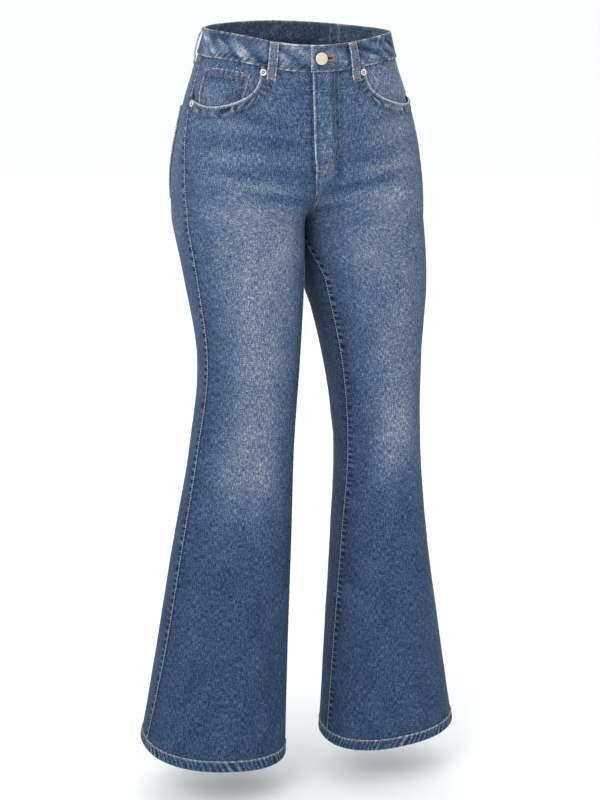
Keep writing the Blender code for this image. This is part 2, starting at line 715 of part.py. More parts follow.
def rivet(name, side, angle, level):
    """A round cap with a rolled rim and a small nub, on the corner of a pocket."""
    rim = RIVET_RADIUS
    top = RIVET_HEIGHT
    profile = (
        (0.0, top + 0.0004), (rim * 0.22, top + 0.0002), (rim * 0.30, top - 0.0007), (rim * 0.52, top - 0.0005),
        (rim * 0.78, top), (rim * 0.95, top - 0.0005), (rim, 0.0003), (rim * 0.96, 0.0), (0.0, 0.0),
    )
    point, normal = point_and_normal(side, 1, angle, level, RIVET_GAP)
    return turned(name, profile, point, normal, NICKEL, steps=16)


def rivets():
    """Two on each front: beside the opening at the band, and by the side seam."""
    inner_level = -BAND_HEIGHT - RIVET_BELOW_BAND
    outer_level = -BAND_HEIGHT - OPENING_DROP - RIVET_BELOW_EDGE
    for side, word in ((-1, "right"), (1, "left")):
        angle = angle_at_x(side, 1, OPENING_X - RIVET_RADIUS - RIVET_IN, inner_level)
        rivet(f"rivet_{word}_inner", side, angle, inner_level)
        first, last = seams(side, 1, outer_level)
        rivet(f"rivet_{word}_outer", side, first + RIVET_ACROSS * (last - first), outer_level)


def clear_scene():
    for old in list(bpy.data.objects):
        bpy.data.objects.remove(old, do_unlink=True)
    made = bpy.data.collections.new(COLLECTION)
    bpy.context.scene.collection.children.link(made)


def main():
    clear_scene()
    waistband("waistband")
    for side, word in ((-1, "right"), (1, "left")):
        front_panel(f"front_{word}", side)
        back_panel(f"back_{word}", side)
        yoke(f"yoke_{word}", side)
        pocket_facing(f"pocket_facing_{word}", side)
        back_pocket(f"back_pocket_{word}", side)
        hem(f"hem_{word}", side)
    coin_pocket("coin_pocket")
    for row in LOOPS:
        loop = dict(zip(LOOP_COLUMNS, row))
        belt_loop(loop["name"], loop["angle_top"], loop["angle_low"])
    fly_shield("fly_shield")
    zip_fastener("zip")
    button("button")
    rivets()


main()
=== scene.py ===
# Bootcut jeans: the cloth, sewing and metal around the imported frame.
# Metres, +Z up. +X is the wearer's left, the front faces -Y, the origin is the centre of the waist.

import bmesh
import bpy
import numpy as np
from mathutils import Matrix, Vector


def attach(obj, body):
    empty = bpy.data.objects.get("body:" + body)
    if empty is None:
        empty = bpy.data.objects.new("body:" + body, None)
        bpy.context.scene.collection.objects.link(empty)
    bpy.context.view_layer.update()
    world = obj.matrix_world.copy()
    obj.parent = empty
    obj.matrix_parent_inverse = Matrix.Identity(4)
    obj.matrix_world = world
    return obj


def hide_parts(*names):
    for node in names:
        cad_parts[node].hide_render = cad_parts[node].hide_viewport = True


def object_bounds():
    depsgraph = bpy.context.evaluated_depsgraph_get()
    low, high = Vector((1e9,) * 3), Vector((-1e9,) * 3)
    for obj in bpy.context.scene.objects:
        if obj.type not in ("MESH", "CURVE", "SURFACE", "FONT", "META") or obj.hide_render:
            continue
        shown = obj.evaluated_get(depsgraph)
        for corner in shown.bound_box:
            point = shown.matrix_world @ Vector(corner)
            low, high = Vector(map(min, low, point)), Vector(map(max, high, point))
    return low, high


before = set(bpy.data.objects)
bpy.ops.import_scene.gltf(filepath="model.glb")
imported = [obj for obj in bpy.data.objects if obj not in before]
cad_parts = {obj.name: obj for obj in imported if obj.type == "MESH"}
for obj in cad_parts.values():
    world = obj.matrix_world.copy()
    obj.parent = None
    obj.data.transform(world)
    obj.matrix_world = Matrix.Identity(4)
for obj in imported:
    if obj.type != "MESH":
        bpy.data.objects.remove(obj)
cadLow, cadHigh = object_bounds()
print("frame loaded")

# The form under the cloth: rings of the body and legs, as the frame has them

shape = {
    "crotch": -0.262,
    "frontFork": 0.080,
    "backFork": 0.125,
    "forkEase": 1.35,
    "frontPower": 2.3,
    "backPower": 2.2,
    "waistDip": -0.014,
    "waistRise": 0.004,
    "waistHalf": 0.127,
    "waistBow": 1.7,
    "waistSlant": -0.032,
    "twist": -0.006,
    "twistFrom": 0.185,
    "twistFade": 0.075,
    "tiltFrom": 0.050,
    "tiltFade": 0.130,
    "hemEdge": -1.030,
    "hemTiltFrom": -0.80,
    "hemTiltOuter": 0.019,
    "hemTiltBack": 0.010,
    "hemTiltDepth": 0.090,
    "inseamEase": 0.080,
    "stepAngle": 0.004,
    "stepLevel": 0.0008,
}

bodyColumns = ("level", "side", "front", "back", "seamForward")
bodyRows = (
    (0.020, 0.1235, 0.081, 0.088, 0.012),
    (-0.040, 0.138, 0.083, 0.121, 0.002),
    (-0.100, 0.158, 0.088, 0.135, 0.007),
    (-0.180, 0.174, 0.094, 0.133, 0.022),
    (-0.255, 0.175, 0.102, 0.122, 0.036),
    (-0.340, 0.169, 0.100, 0.107, 0.038),
    (-0.450, 0.157, 0.084, 0.086, 0.031),
    (-0.580, 0.164, 0.071, 0.070, 0.026),
    (-0.720, 0.185, 0.071, 0.072, 0.026),
    (-0.880, 0.211, 0.079, 0.081, 0.023),
    (-1.030, 0.234, 0.087, 0.088, 0.008),
)
legColumns = ("level", "inner", "inseamForward", "shift", "turn", "sideMore", "innerMore", "depthMore")
legRows = (
    (-0.262, 0.000, 0.044, 0.000, 0.0, 0.000, 0.000, 0.000),
    (-0.340, 0.007, 0.044, -0.012, 1.7, 0.006, 0.003, 0.001),
    (-0.450, 0.022, 0.035, -0.021, 3.2, 0.008, 0.012, 0.002),
    (-0.580, 0.034, 0.020, -0.022, 4.9, 0.001, 0.017, 0.004),
    (-0.720, 0.035, 0.014, -0.012, 3.6, -0.002, 0.016, 0.005),
    (-0.880, 0.034, 0.012, -0.004, 2.0, -0.001, 0.011, 0.003),
    (-1.030, 0.032, 0.011, -0.004, 0.6, -0.001, 0.004, -0.006),
)

# Soft folds, as the frame has them: across runs from the side seam (0) to the centre (1)
foldColumns = ("side", "face", "across", "level", "slope", "reach", "width", "rise")
foldRows = (
    (-1, 1, 0.45, -0.168, -0.10, 0.060, 0.012, 0.0016),
    (-1, 1, 0.62, -0.205, -0.22, 0.055, 0.013, 0.0020),
    (-1, 1, 0.80, -0.238, -0.35, 0.045, 0.011, 0.0018),
    (-1, 1, 0.30, -0.235, 0.10, 0.050, 0.014, 0.0014),
    (1, 1, 0.50, -0.178, -0.12, 0.055, 0.012, 0.0015),
    (1, 1, 0.66, -0.215, -0.24, 0.050, 0.013, 0.0021),
    (1, 1, 0.82, -0.246, -0.34, 0.040, 0.011, 0.0017),
    (1, 1, 0.28, -0.228, 0.08, 0.055, 0.014, 0.0013),
    (-1, -1, 0.66, -0.318, 0.35, 0.055, 0.015, 0.0026),
    (-1, -1, 0.72, -0.362, 0.42, 0.050, 0.014, 0.0022),
    (-1, -1, 0.55, -0.545, 0.10, 0.045, 0.014, 0.0021),
    (-1, -1, 0.45, -0.590, -0.12, 0.040, 0.013, 0.0018),
    (1, -1, 0.64, -0.326, 0.33, 0.055, 0.015, 0.0025),
    (1, -1, 0.74, -0.370, 0.40, 0.050, 0.014, 0.0021),
    (1, -1, 0.52, -0.552, 0.12, 0.045, 0.014, 0.0022),
    (1, -1, 0.48, -0.600, -0.10, 0.040, 0.013, 0.0017),
)

# Finer creases and whiskers: ridges above zero, troughs below
creaseRows = (
    (-1, 1, 0.36, -0.140, -0.12, 0.050, 0.0045, -0.0005),
    (-1, 1, 0.60, -0.186, -0.20, 0.050, 0.0050, -0.0008),
    (-1, 1, 0.76, -0.222, -0.30, 0.038, 0.0045, -0.0009),
    (-1, 1, 0.90, -0.250, -0.55, 0.026, 0.0040, -0.0008),
    (-1, 1, 0.22, -0.205, 0.16, 0.040, 0.0060, -0.0004),
    (-1, 1, 0.70, -0.292, -0.30, 0.040, 0.0060, 0.0005),
    (-1, 1, 0.50, -0.545, 0.06, 0.045, 0.0070, 0.0004),
    (-1, 1, 0.42, -0.590, -0.05, 0.040, 0.0060, -0.0004),
    (-1, 1, 0.55, -0.660, 0.10, 0.050, 0.0080, 0.0003),
    (1, 1, 0.40, -0.148, -0.14, 0.050, 0.0045, -0.0005),
    (1, 1, 0.64, -0.196, -0.22, 0.046, 0.0050, -0.0008),
    (1, 1, 0.80, -0.230, -0.32, 0.036, 0.0045, -0.0009),
    (1, 1, 0.91, -0.254, -0.50, 0.024, 0.0040, -0.0008),
    (1, 1, 0.20, -0.198, 0.14, 0.040, 0.0060, -0.0004),
    (1, 1, 0.62, -0.300, -0.26, 0.045, 0.0060, 0.0005),
    (1, 1, 0.55, -0.560, -0.08, 0.045, 0.0070, 0.0004),
    (1, 1, 0.45, -0.610, 0.06, 0.040, 0.0060, -0.0004),
    (-1, -1, 0.80, -0.292, 0.42, 0.045, 0.0060, -0.0010),
    (-1, -1, 0.70, -0.338, 0.40, 0.050, 0.0055, -0.0009),
    (-1, -1, 0.62, -0.392, 0.30, 0.045, 0.0065, -0.0007),
    (-1, -1, 0.40, -0.530, 0.16, 0.045, 0.0055, -0.0008),
    (-1, -1, 0.60, -0.566, -0.08, 0.050, 0.0055, -0.0009),
    (-1, -1, 0.45, -0.612, -0.14, 0.045, 0.0060, -0.0006),
    (-1, -1, 0.66, -0.640, 0.12, 0.035, 0.0060, 0.0005),
    (1, -1, 0.78, -0.300, 0.38, 0.045, 0.0060, -0.0010),
    (1, -1, 0.70, -0.346, 0.38, 0.050, 0.0055, -0.0009),
    (1, -1, 0.58, -0.402, 0.28, 0.045, 0.0065, -0.0007),
    (1, -1, 0.44, -0.524, 0.12, 0.045, 0.0055, -0.0008),
    (1, -1, 0.58, -0.576, -0.06, 0.050, 0.0055, -0.0009),
    (1, -1, 0.40, -0.622, -0.12, 0.045, 0.0060, -0.0006),
    (1, -1, 0.62, -0.655, 0.10, 0.035, 0.0060, 0.0005),
)
creases = {"panel": 0.20, "edge": 0.10, "foldEdge": 0.12, "tonePerMetre": 75.0, "foldShare": 0.35}

# Whiskers that the wash has left, pale above zero and dark below
whiskerRows = (
    (-1, 1, 0.62, -0.106, -0.13, 0.060, 0.0075, -0.070),
    (-1, 1, 0.50, -0.122, -0.10, 0.070, 0.0080, 0.040),
    (-1, 1, 0.80, -0.141, -0.12, 0.034, 0.0070, -0.075),
    (-1, 1, 0.34, -0.148, -0.06, 0.060, 0.0080, -0.045),
    (-1, 1, 0.60, -0.160, -0.12, 0.060, 0.0075, 0.045),
    (-1, 1, 0.78, -0.181, -0.16, 0.040, 0.0070, -0.085),
    (-1, 1, 0.40, -0.178, -0.02, 0.050, 0.0080, -0.035),
    (-1, 1, 0.62, -0.200, -0.14, 0.050, 0.0075, 0.050),
    (-1, 1, 0.76, -0.216, -0.22, 0.046, 0.0065, -0.110),
    (-1, 1, 0.58, -0.236, -0.16, 0.050, 0.0090, 0.045),
    (-1, 1, 0.86, -0.246, -0.45, 0.030, 0.0065, -0.070),
    (1, 1, 0.60, -0.112, -0.06, 0.050, 0.0075, -0.045),
    (1, 1, 0.50, -0.140, -0.06, 0.060, 0.0085, 0.040),
    (1, 1, 0.66, -0.166, -0.10, 0.050, 0.0070, -0.070),
    (1, 1, 0.50, -0.184, -0.10, 0.060, 0.0075, 0.045),
    (1, 1, 0.72, -0.203, -0.14, 0.045, 0.0065, -0.090),
    (1, 1, 0.56, -0.222, -0.12, 0.055, 0.0080, 0.045),
    (1, 1, 0.82, -0.234, -0.26, 0.034, 0.0065, -0.090),
    (1, 1, 0.66, -0.262, -0.24, 0.040, 0.0080, -0.050),
    (-1, -1, 0.60, -0.292, 0.32, 0.055, 0.0080, -0.080),
    (-1, -1, 0.55, -0.314, 0.34, 0.055, 0.0080, 0.060),
    (-1, -1, 0.70, -0.345, 0.40, 0.045, 0.0075, -0.070),
    (-1, -1, 0.50, -0.536, 0.12, 0.050, 0.0080, -0.080),
    (-1, -1, 0.56, -0.556, 0.04, 0.050, 0.0070, 0.060),
    (-1, -1, 0.48, -0.578, -0.06, 0.050, 0.0080, -0.075),
    (-1, -1, 0.54, -0.604, -0.10, 0.045, 0.0080, 0.050),
    (1, -1, 0.58, -0.298, 0.30, 0.055, 0.0080, -0.080),
    (1, -1, 0.56, -0.322, 0.32, 0.055, 0.0080, 0.060),
    (1, -1, 0.72, -0.352, 0.38, 0.045, 0.0075, -0.070),
    (1, -1, 0.52, -0.530, 0.10, 0.050, 0.0080, -0.080),
    (1, -1, 0.50, -0.560, 0.06, 0.050, 0.0070, 0.060),
    (1, -1, 0.54, -0.588, -0.08, 0.050, 0.0080, -0.075),
    (1, -1, 0.48, -0.614, -0.08, 0.045, 0.0080, 0.050),
)

# Where the wash has faded the cloth: across, level, half width across, reach up and down, gain
fadeColumns = ("side", "face", "across", "level", "width", "up", "down", "gain")
fadeRows = (
    (-1, 1, 0.50, -0.470, 0.27, 0.210, 0.135, 0.185),
    (-1, 1, 0.48, -0.608, 0.24, 0.066, 0.062, 0.165),
    (-1, 1, 0.46, -0.270, 0.34, 0.060, 0.120, 0.100),
    (-1, 1, 0.34, -0.150, 0.30, 0.040, 0.050, 0.030),
    (1, 1, 0.48, -0.450, 0.27, 0.200, 0.140, 0.150),
    (1, 1, 0.50, -0.580, 0.22, 0.085, 0.052, 0.150),
    (1, 1, 0.40, -0.240, 0.32, 0.060, 0.110, 0.075),
    (1, 1, 0.40, -0.130, 0.34, 0.040, 0.060, 0.100),
    (1, 1, 0.50, -0.860, 0.60, 0.180, 0.300, 0.018),
    (-1, -1, 0.50, -0.270, 0.34, 0.080, 0.060, 0.090),
    (-1, -1, 0.48, -0.440, 0.28, 0.100, 0.120, 0.060),
    (-1, -1, 0.50, -0.580, 0.30, 0.050, 0.060, 0.035),
    (1, -1, 0.50, -0.272, 0.34, 0.080, 0.060, 0.090),
    (1, -1, 0.48, -0.445, 0.28, 0.100, 0.120, 0.060),
    (1, -1, 0.50, -0.585, 0.30, 0.050, 0.060, 0.035),
)
wash = {
    "levels": (-1.03, -0.90, -0.72, -0.62, -0.42, -0.30, -0.20, -0.10, 0.0),
    "front": (0.365, 0.375, 0.395, 0.425, 0.450, 0.470, 0.495, 0.510, 0.515),
    "back": (0.360, 0.370, 0.385, 0.400, 0.420, 0.450, 0.515, 0.555, 0.560),
    "seamDark": 0.035,
    "seamReach": 0.022,
}

cloth = {
    "thickness": 0.0012,
    "seamGap": -0.00012,  # sewn shut: the pieces lap by a hair
    "centreLap": 0.0007,  # more beside the centre seams, where the walls lean apart
    "centreFlat": 0.002,
    "centreEase": 0.006,
    "layGap": 0.0003,
    "rowStep": 0.0023,
    "edgeInset": (0.0, 0.00015, 0.0004, 0.0008, 0.0014),
    "rippleRise": 0.00018,
    "rippleTone": 0.012,
    "rippleEase": 0.02,
}


def table(columns, rows):
    data = np.array(rows, float)
    return {name: data[:, i] for i, name in enumerate(columns)}


body = table(bodyColumns, bodyRows)
leg = table(legColumns, legRows)


def smoothStep(t):
    t = np.clip(t, 0.0, 1.0)
    return t * t * (3.0 - 2.0 * t)


def bell(x, middle, reach):
    return np.exp(-(((x - middle) / reach) ** 2))


def sumBells(x, rows):  # rows of middle, reach and gain
    return sum(gain * bell(x, middle, reach) for middle, reach, gain in rows)


def spread(*values):
    return [np.array(v, float) for v in np.broadcast_arrays(*values)]


def readTable(columns, name, level):  # one column at any level, on a smooth curve through its rows
    x = columns["level"][::-1]
    y = columns[name][::-1]
    slope = np.gradient(y, x)
    at = np.clip(level, x[0], x[-1])
    i = np.clip(np.searchsorted(x, at) - 1, 0, len(x) - 2)
    span = x[i + 1] - x[i]
    t = (at - x[i]) / span
    low = (1 + 2 * t) * (1 - t) ** 2 * y[i] + t * (1 - t) ** 2 * span * slope[i]
    high = t * t * (3 - 2 * t) * y[i + 1] + t * t * (t - 1) * span * slope[i + 1]
    return low + high


def ringOf(side, face, level):  # half width, centre, depth, power and last angle of one side's ring
    outer = readTable(body, "side", level) + side * readTable(leg, "sideMore", level)
    inner = readTable(leg, "inner", level) + side * readTable(leg, "innerMore", level)
    depth = np.where(face > 0, readTable(body, "front", level), readTable(body, "back", level))
    depth = depth + side * readTable(leg, "depthMore", level)
    fork = np.where(face > 0, shape["frontFork"], shape["backFork"])
    power = np.where(face > 0, shape["frontPower"], shape["backPower"])
    climb = np.clip((shape["crotch"] + fork - level) / fork, 0.0, 1.0)
    rise = np.sin(np.pi / 2.0 * climb) ** shape["forkEase"]
    reach = rise ** (2.0 / power)
    above = level > shape["crotch"]
    half = np.where(above, outer / (1.0 + reach), (outer - inner) / 2.0)
    centre = np.where(above, half * reach, (outer + inner) / 2.0)
    return half, centre, depth, power, np.pi / 2.0 + np.arcsin(rise)


def plainPoint(side, face, angle, level):  # a point of the form at an angle from the side
    over = np.sin(angle) < 0.0
    faceHere = np.where(over, -face, face)
    half, centre, depth, power, _ = ringOf(side, faceHere, level)
    cos = np.cos(angle)
    sin = np.abs(np.sin(angle))
    x = half * np.sign(cos) * np.abs(cos) ** (2.0 / power)
    y = -faceHere * depth * sin ** (2.0 / power) + readTable(leg, "shift", level)
    turn = np.radians(readTable(leg, "turn", level))
    xTurned = x * np.cos(turn) - y * np.sin(turn)
    yTurned = x * np.sin(turn) + y * np.cos(turn)
    tilt = 1.0 - smoothStep((-level - shape["tiltFrom"]) / shape["tiltFade"])
    bow = np.clip(1.0 - ((centre + x) / shape["waistHalf"]) ** 2, 0.0, 1.0) ** shape["waistBow"]
    dip = bow * np.where(faceHere > 0, shape["waistDip"], shape["waistRise"])
    z = level + tilt * (dip + shape["waistSlant"] * side * (centre + x))
    low = np.clip((shape["hemTiltFrom"] - level) / (shape["hemTiltFrom"] - shape["hemEdge"]), 0.0, 1.0) ** 2
    outward = shape["hemTiltOuter"] * (0.5 + 0.5 * x / half)
    z = z + low * (outward + shape["hemTiltBack"] * y / shape["hemTiltDepth"])
    twist = shape["twist"] * (1.0 - smoothStep((-level - shape["twistFrom"]) / shape["twistFade"]))
    return np.stack([side * (centre + xTurned) + twist * bow * (faceHere > 0), yTurned, z], -1)


def seamAngles(side, face, level):  # angles of the side seam and of the centre seam or inseam
    frontDepth = readTable(body, "front", level) + side * readTable(leg, "depthMore", level)
    first = np.arcsin(readTable(body, "seamForward", level) / frontDepth)
    inset = np.arcsin(readTable(leg, "inseamForward", level) / frontDepth)
    inset = inset * smoothStep((shape["crotch"] - level) / shape["inseamEase"])
    return face * first, ringOf(side, face, level)[4] - face * inset


def formPoint(side, face, angle, level):  # the form without folds, and the direction out of it
    side, face, angle, level = spread(side, face, angle, level)
    stepAngle, stepLevel = shape["stepAngle"], shape["stepLevel"]
    ahead, behind = (plainPoint(side, face, angle + step, level) for step in (stepAngle, -stepAngle))
    above, below = (plainPoint(side, face, angle, level + step) for step in (stepLevel, -stepLevel))
    normal = np.cross(ahead - behind, above - below) * (-side * face)[..., None]
    return plainPoint(side, face, angle, level), normal / np.linalg.norm(normal, axis=-1, keepdims=True)


def sumFolds(rows, side, face, across, level):
    total = np.zeros_like(level)
    for row in rows:
        fold = dict(zip(foldColumns, row))
        along = (across - fold["across"]) * creases["panel"]
        down = level - fold["level"] - fold["slope"] * along
        bump = np.exp(-(along / fold["reach"]) ** 2 - (down / fold["width"]) ** 2)
        here = (side == fold["side"]) & (face == fold["face"])
        total += np.where(here, fold["rise"] * bump, 0.0)
    return total


def angleAtX(side, face, x, level):
    half, centre, _, power, _ = ringOf(side, face, level)
    cos = (x - centre) / half
    return np.arccos(np.sign(cos) * np.abs(cos) ** (power / 2.0))


def thetaAtX(x, level):  # angle round the waist at a distance from the centre front
    return np.sign(x) * (np.pi / 2.0 - angleAtX(1, 1, np.abs(x), level))


def xAtTheta(theta, level):
    theta = (theta + np.pi) % (2.0 * np.pi) - np.pi
    half, _, _, power, _ = ringOf(1, 1, level)
    return half * np.sign(theta) * np.abs(np.sin(theta)) ** (2.0 / power)


def measureWidths():  # how wide each panel is at each level
    widths = {}
    levels = np.linspace(-1.04, 0.0, 53)
    share = np.linspace(0.0, 1.0, 40)[:, None]
    for side in (-1, 1):
        for face in (-1, 1):
            first, last = seamAngles(side, face, levels)
            line = plainPoint(side, face, first + (last - first) * share, levels + 0.0 * share)
            widths[side, face] = (levels, np.linalg.norm(np.diff(line, axis=0), axis=-1).sum(0))
    return widths


panelWidths = measureWidths()


def panelWidth(side, face, level):
    levels, widths = panelWidths[int(side), int(face)]
    return np.interp(level, levels, widths)


# Unevenness: smooth random curves, puckers beside a seam and slow ripples


def smoothNoise(x, step, seed):
    knots = np.random.default_rng(seed).uniform(-1.0, 1.0, 1024)
    t = x / step + 200.0
    i = np.floor(t).astype(int) % 1023
    f = smoothStep(t - np.floor(t))
    return knots[i] * (1.0 - f) + knots[i + 1] * f


def puckers(run, away, spacing, reach, seed, lean=0.0):  # from -1 in a trough to 1 on a ridge
    run = run + lean * away
    phase = run / spacing + 0.45 * smoothNoise(run, spacing * 1.7, seed)
    strength = 0.62 + 0.38 * smoothNoise(run, spacing * 2.6, seed + 1)
    length = reach * (0.85 + 0.40 * smoothNoise(run, spacing * 1.3, seed + 2))
    return np.sin(2.0 * np.pi * phase) * strength * np.exp(-(away / length) ** 2)


def ripples(u, v, seed):
    draw = np.random.default_rng(seed)
    total = np.zeros_like(u)
    for k in range(7):
        way = draw.uniform(0.0, np.pi)
        wave = draw.uniform(0.035, 0.110)
        total += np.sin(2.0 * np.pi * (u * np.cos(way) + v * np.sin(way)) / wave + draw.uniform(0.0, 6.3))
    return total / 3.0


def roundOff(distance, radius):  # 0 at a rounded edge, 1 past its radius
    t = 1.0 - np.clip(distance / radius, 0.03, 1.0)
    return np.sqrt(1.0 - t * t)


def fadeOut(across, ease):  # 0 at both edges of a panel
    return smoothStep(across / ease) * smoothStep((1.0 - across) / ease)


# Seams by face and place: how far apart the puckers are, their length, rise and tone, the rise
# and width of the turned-in cloth, and the tone of the line beside the sewing,
# a painted shadow line where it is below zero and pale wear where above
seamColumns = ("spacing", "reach", "rise", "tone", "ridge", "width", "line")
seamRows = {
    (1, "side"): (0.0105, 0.0070, 0.00020, 0.080, 0.0, 0.006, -0.20),
    (1, "middle"): (0.0092, 0.0095, 0.00045, 0.330, 0.00055, 0.009, 0.12),
    (-1, "side"): (0.0098, 0.0095, 0.00046, 0.290, 0.00050, 0.009, 0.15),
    (-1, "middle"): (0.0105, 0.0070, 0.00022, 0.080, 0.0, 0.006, -0.16),
}
seams = {
    "clear": 0.0008,
    "ease": 0.0022,
    "ridgeEase": 0.003,
    "darkGain": 1.9,
    "paleGain": 0.8,
    "blotAt": 0.0058,
    "blotReach": 0.0042,
    "lineAt": 0.0013,
    "lineReach": 0.0013,
    "lineAbove": 0.3,  # share of the line's tone above the crotch
    "flyCalm": 0.85,  # the fly has few puckers of its own
    "flyFade": 0.02,
}
fly = {
    "lap": -0.0015,
    "lapEnd": -0.160,
    "lapOut": -0.178,
    "raise": 0.00165,
    "raiseEnd": -0.200,
    "flat": 0.004,
    "ease": 0.031,
    "stitchX": (0.0292, 0.0350),
    "bendFrom": -0.141,
    "bendTo": (-0.1885, -0.1950),
    "tackLevel": -0.1815,
    "flap": (0.0062, 0.0040, 0.170),  # middle, reach and gain of its worn bands
    "ridge": (0.0135, 0.0026, 0.150),
    "ridgeRise": 0.00025,
    "darkBells": ((0.0215, 0.0046, -0.140), (0.0022, 0.0009, -0.112)),
    "edgeBell": (0.0, 0.0010, 0.34),
    # painted shadow of the lap's edge, on the right front beside it
    "lapShadowBell": (0.0021, 0.0013, -0.18),
    "seamBells": ((0.0052, 0.0011, 0.16), (0.0030, 0.0012, -0.07)),
    "fade": 0.012,
}
opening = {
    "x": 0.073,
    "drop": 0.055,
    "sag": 0.008,
    "power": 3.7,
    "fanLevel": -0.150,
    "hemWidth": 0.0135,
    "hemRise": 0.00055,
    "rows": (0.0042, 0.0115),
    "widthLevel": -0.07,
    "nearLevel": -0.135,
    "spacing": 0.0062,
    "ladder": (0.0030, 0.0115),  # puckers between these distances
    "ladderRise": 0.00022,
    "ladderTone": 0.26,
    "darkGain": 1.6,
    "paleGain": 0.9,
    "bells": ((0.0, 0.0026, 0.38), (0.0046, 0.0012, -0.10), (0.0150, 0.003, -0.07)),
    # painted shadow just below the waistband
    "bandShadowBell": (0.0, 0.004, -0.07),
}
band = {
    "height": 0.036,
    "thickness": 0.0026,
    "overX": -0.004,
    "underX": 0.036,
    "overOut": 0.0015,
    "underOut": -0.0015,
    "ease": 0.0115,
    "lapSpare": 0.0015,
    "holeFrom": 0.0075,
    "holeTo": 0.0285,
    "holeLevel": -0.018,
    "holeHalf": 0.0019,
    "stitchIn": 0.0030,
    "runRadius": 0.115,
    "endRadius": 0.100,
    "loopRadius": 0.120,
    "round": 0.0012,
    "rises": (0.00026, 0.00030, 0.00030),  # upper puckers, lower puckers and slanted folds
    "tones": (0.150, 0.190, 0.18, 0.40),  # the same and the wedges
    "tone": 0.545,
    "edgeRidge": (0.0012, 0.0012, 0.00020),
    "endRidge": (0.0015, 0.0015, 0.00025),
    "edgeBells": ((0.0, 0.0013, 0.30), (0.0042, 0.0022, -0.045)),
    "endBells": ((0.0, 0.0017, 0.28), (0.005, 0.0018, -0.12)),
    # painted shade on the band beside each belt loop
    "loopShadowBell": (0.0068, 0.0024, -0.20),
    "insideTones": (0.560, 0.24, 0.07),  # the cloth, its pale puckers and its unevenness
    "insideEdge": (0.0, 0.0014, 0.10),
    "insideStrip": (0.006, 0.0045, -0.16),
}
yoke = {
    "side": -0.049,
    "centre": -0.105,
    "feltWidth": 0.0105,
    "feltRise": 0.00055,
    "rows": (0.0025, 0.0085),
    "ropeRise": 0.00018,
    "ropeTone": 0.07,
    "edgeBell": (0.0, 0.0014, 0.14),
}
hemTop = shape["hemEdge"] + 0.016


def flyRaise(x, level):
    across = 1.0 - smoothStep((x - fly["flat"]) / (fly["ease"] - fly["flat"]))
    down = smoothStep((level - fly["raiseEnd"]) / (fly["lapOut"] - fly["raiseEnd"]))
    return fly["raise"] * across * down


def frontAngles(side, level):  # the front's two edges: the wearer's left one laps past the centre
    first, last = seamAngles(side, 1, level)
    if side > 0:
        past = fly["lap"] * smoothStep((level - fly["lapOut"]) / (fly["lapEnd"] - fly["lapOut"]))
        fork = shape["crotch"] + shape["frontFork"]
        lap = angleAtX(side, 1, past, np.maximum(level, fork))
        last = np.where(level > fly["lapOut"], lap, last)
    return first, last


def openingShare(side):
    level = np.array(-band["height"])
    first, last = frontAngles(side, level)
    return float((angleAtX(side, 1, opening["x"], level) - first) / (last - first))


def frontEdge(side):  # the top edge of a front: the pocket opening, then the band
    corner = openingShare(side)
    turn = np.linspace(0.0, np.pi / 2.0, 240)
    place = np.sin(turn) ** (2.0 / opening["power"])
    drop = opening["drop"] + opening["sag"] * np.sin(np.pi * place)
    drop = drop * np.cos(turn) ** (2.0 / opening["power"])
    return corner * place, -(band["height"] + cloth["seamGap"]) - drop, corner


def runOf(x, y):  # distance along a line of points
    return np.concatenate([[0.0], np.cumsum(np.hypot(np.diff(x), np.diff(y)))])


def openingNearest(side, across, level):  # distance to the pocket opening, and how far along it that is
    edgeAcross, edgeLevel, _ = frontEdge(side)
    wide = panelWidth(side, 1, opening["widthLevel"])
    near = level > opening["nearLevel"]
    x = (across[near][:, None] - edgeAcross) * wide
    y = level[near][:, None] - edgeLevel
    square = x * x + y * y
    away, run = np.ones(level.shape), np.zeros(level.shape)
    away[near] = np.sqrt(square.min(1))
    run[near] = runOf(edgeAcross * wide, edgeLevel)[square.argmin(1)]
    return away, run


def yokeLevel(across):
    return yoke["side"] + (yoke["centre"] - yoke["side"]) * across


def washTone(side, face, across, level):
    tone = np.interp(level, wash["levels"], wash["front" if face > 0 else "back"])
    for row in fadeRows:
        fade = dict(zip(fadeColumns, row))
        if side != fade["side"] or face != fade["face"]:
            continue
        down = level - fade["level"]
        reach = np.where(down > 0.0, fade["up"], fade["down"])
        tone = tone + fade["gain"] * bell(across, fade["across"], fade["width"]) * bell(down, 0.0, reach)
    return tone


def seamLook(side, face, key, away, level):  # puckers, blotches and the turned-in cloth beside a seam
    style = dict(zip(seamColumns, seamRows[face, key]))
    seed = 100 + 10 * side + 3 * face + (20 if key == "middle" else 0)
    rope = puckers(-level, away, style["spacing"], style["reach"], seed)
    blot = puckers(-level, 0.0 * away, style["spacing"], 1.0, seed)
    blot = blot * np.where(blot < 0.0, seams["darkGain"], seams["paleGain"])
    blot = blot * bell(away, seams["blotAt"], seams["blotReach"])
    start = smoothStep((away - seams["clear"]) / seams["ease"])
    if face > 0 and key == "middle":
        start = start * (1.0 - seams["flyCalm"] * smoothStep((level - shape["crotch"]) / seams["flyFade"]))
    ridge = 1.0 - smoothStep((away - style["width"]) / seams["ridgeEase"])
    # the line beside the sewing: a painted shadow line where its tone is below zero, pale wear where above
    line = bell(away, seams["lineAt"], seams["lineReach"])
    line = line * np.where(level > shape["crotch"], seams["lineAbove"], 1.0)
    tone = style["tone"] * blot * start + style["line"] * line
    tone = tone - wash["seamDark"] * bell(away, 0.0, wash["seamReach"])
    return style["rise"] * rope * start + style["ridge"] * ridge, tone


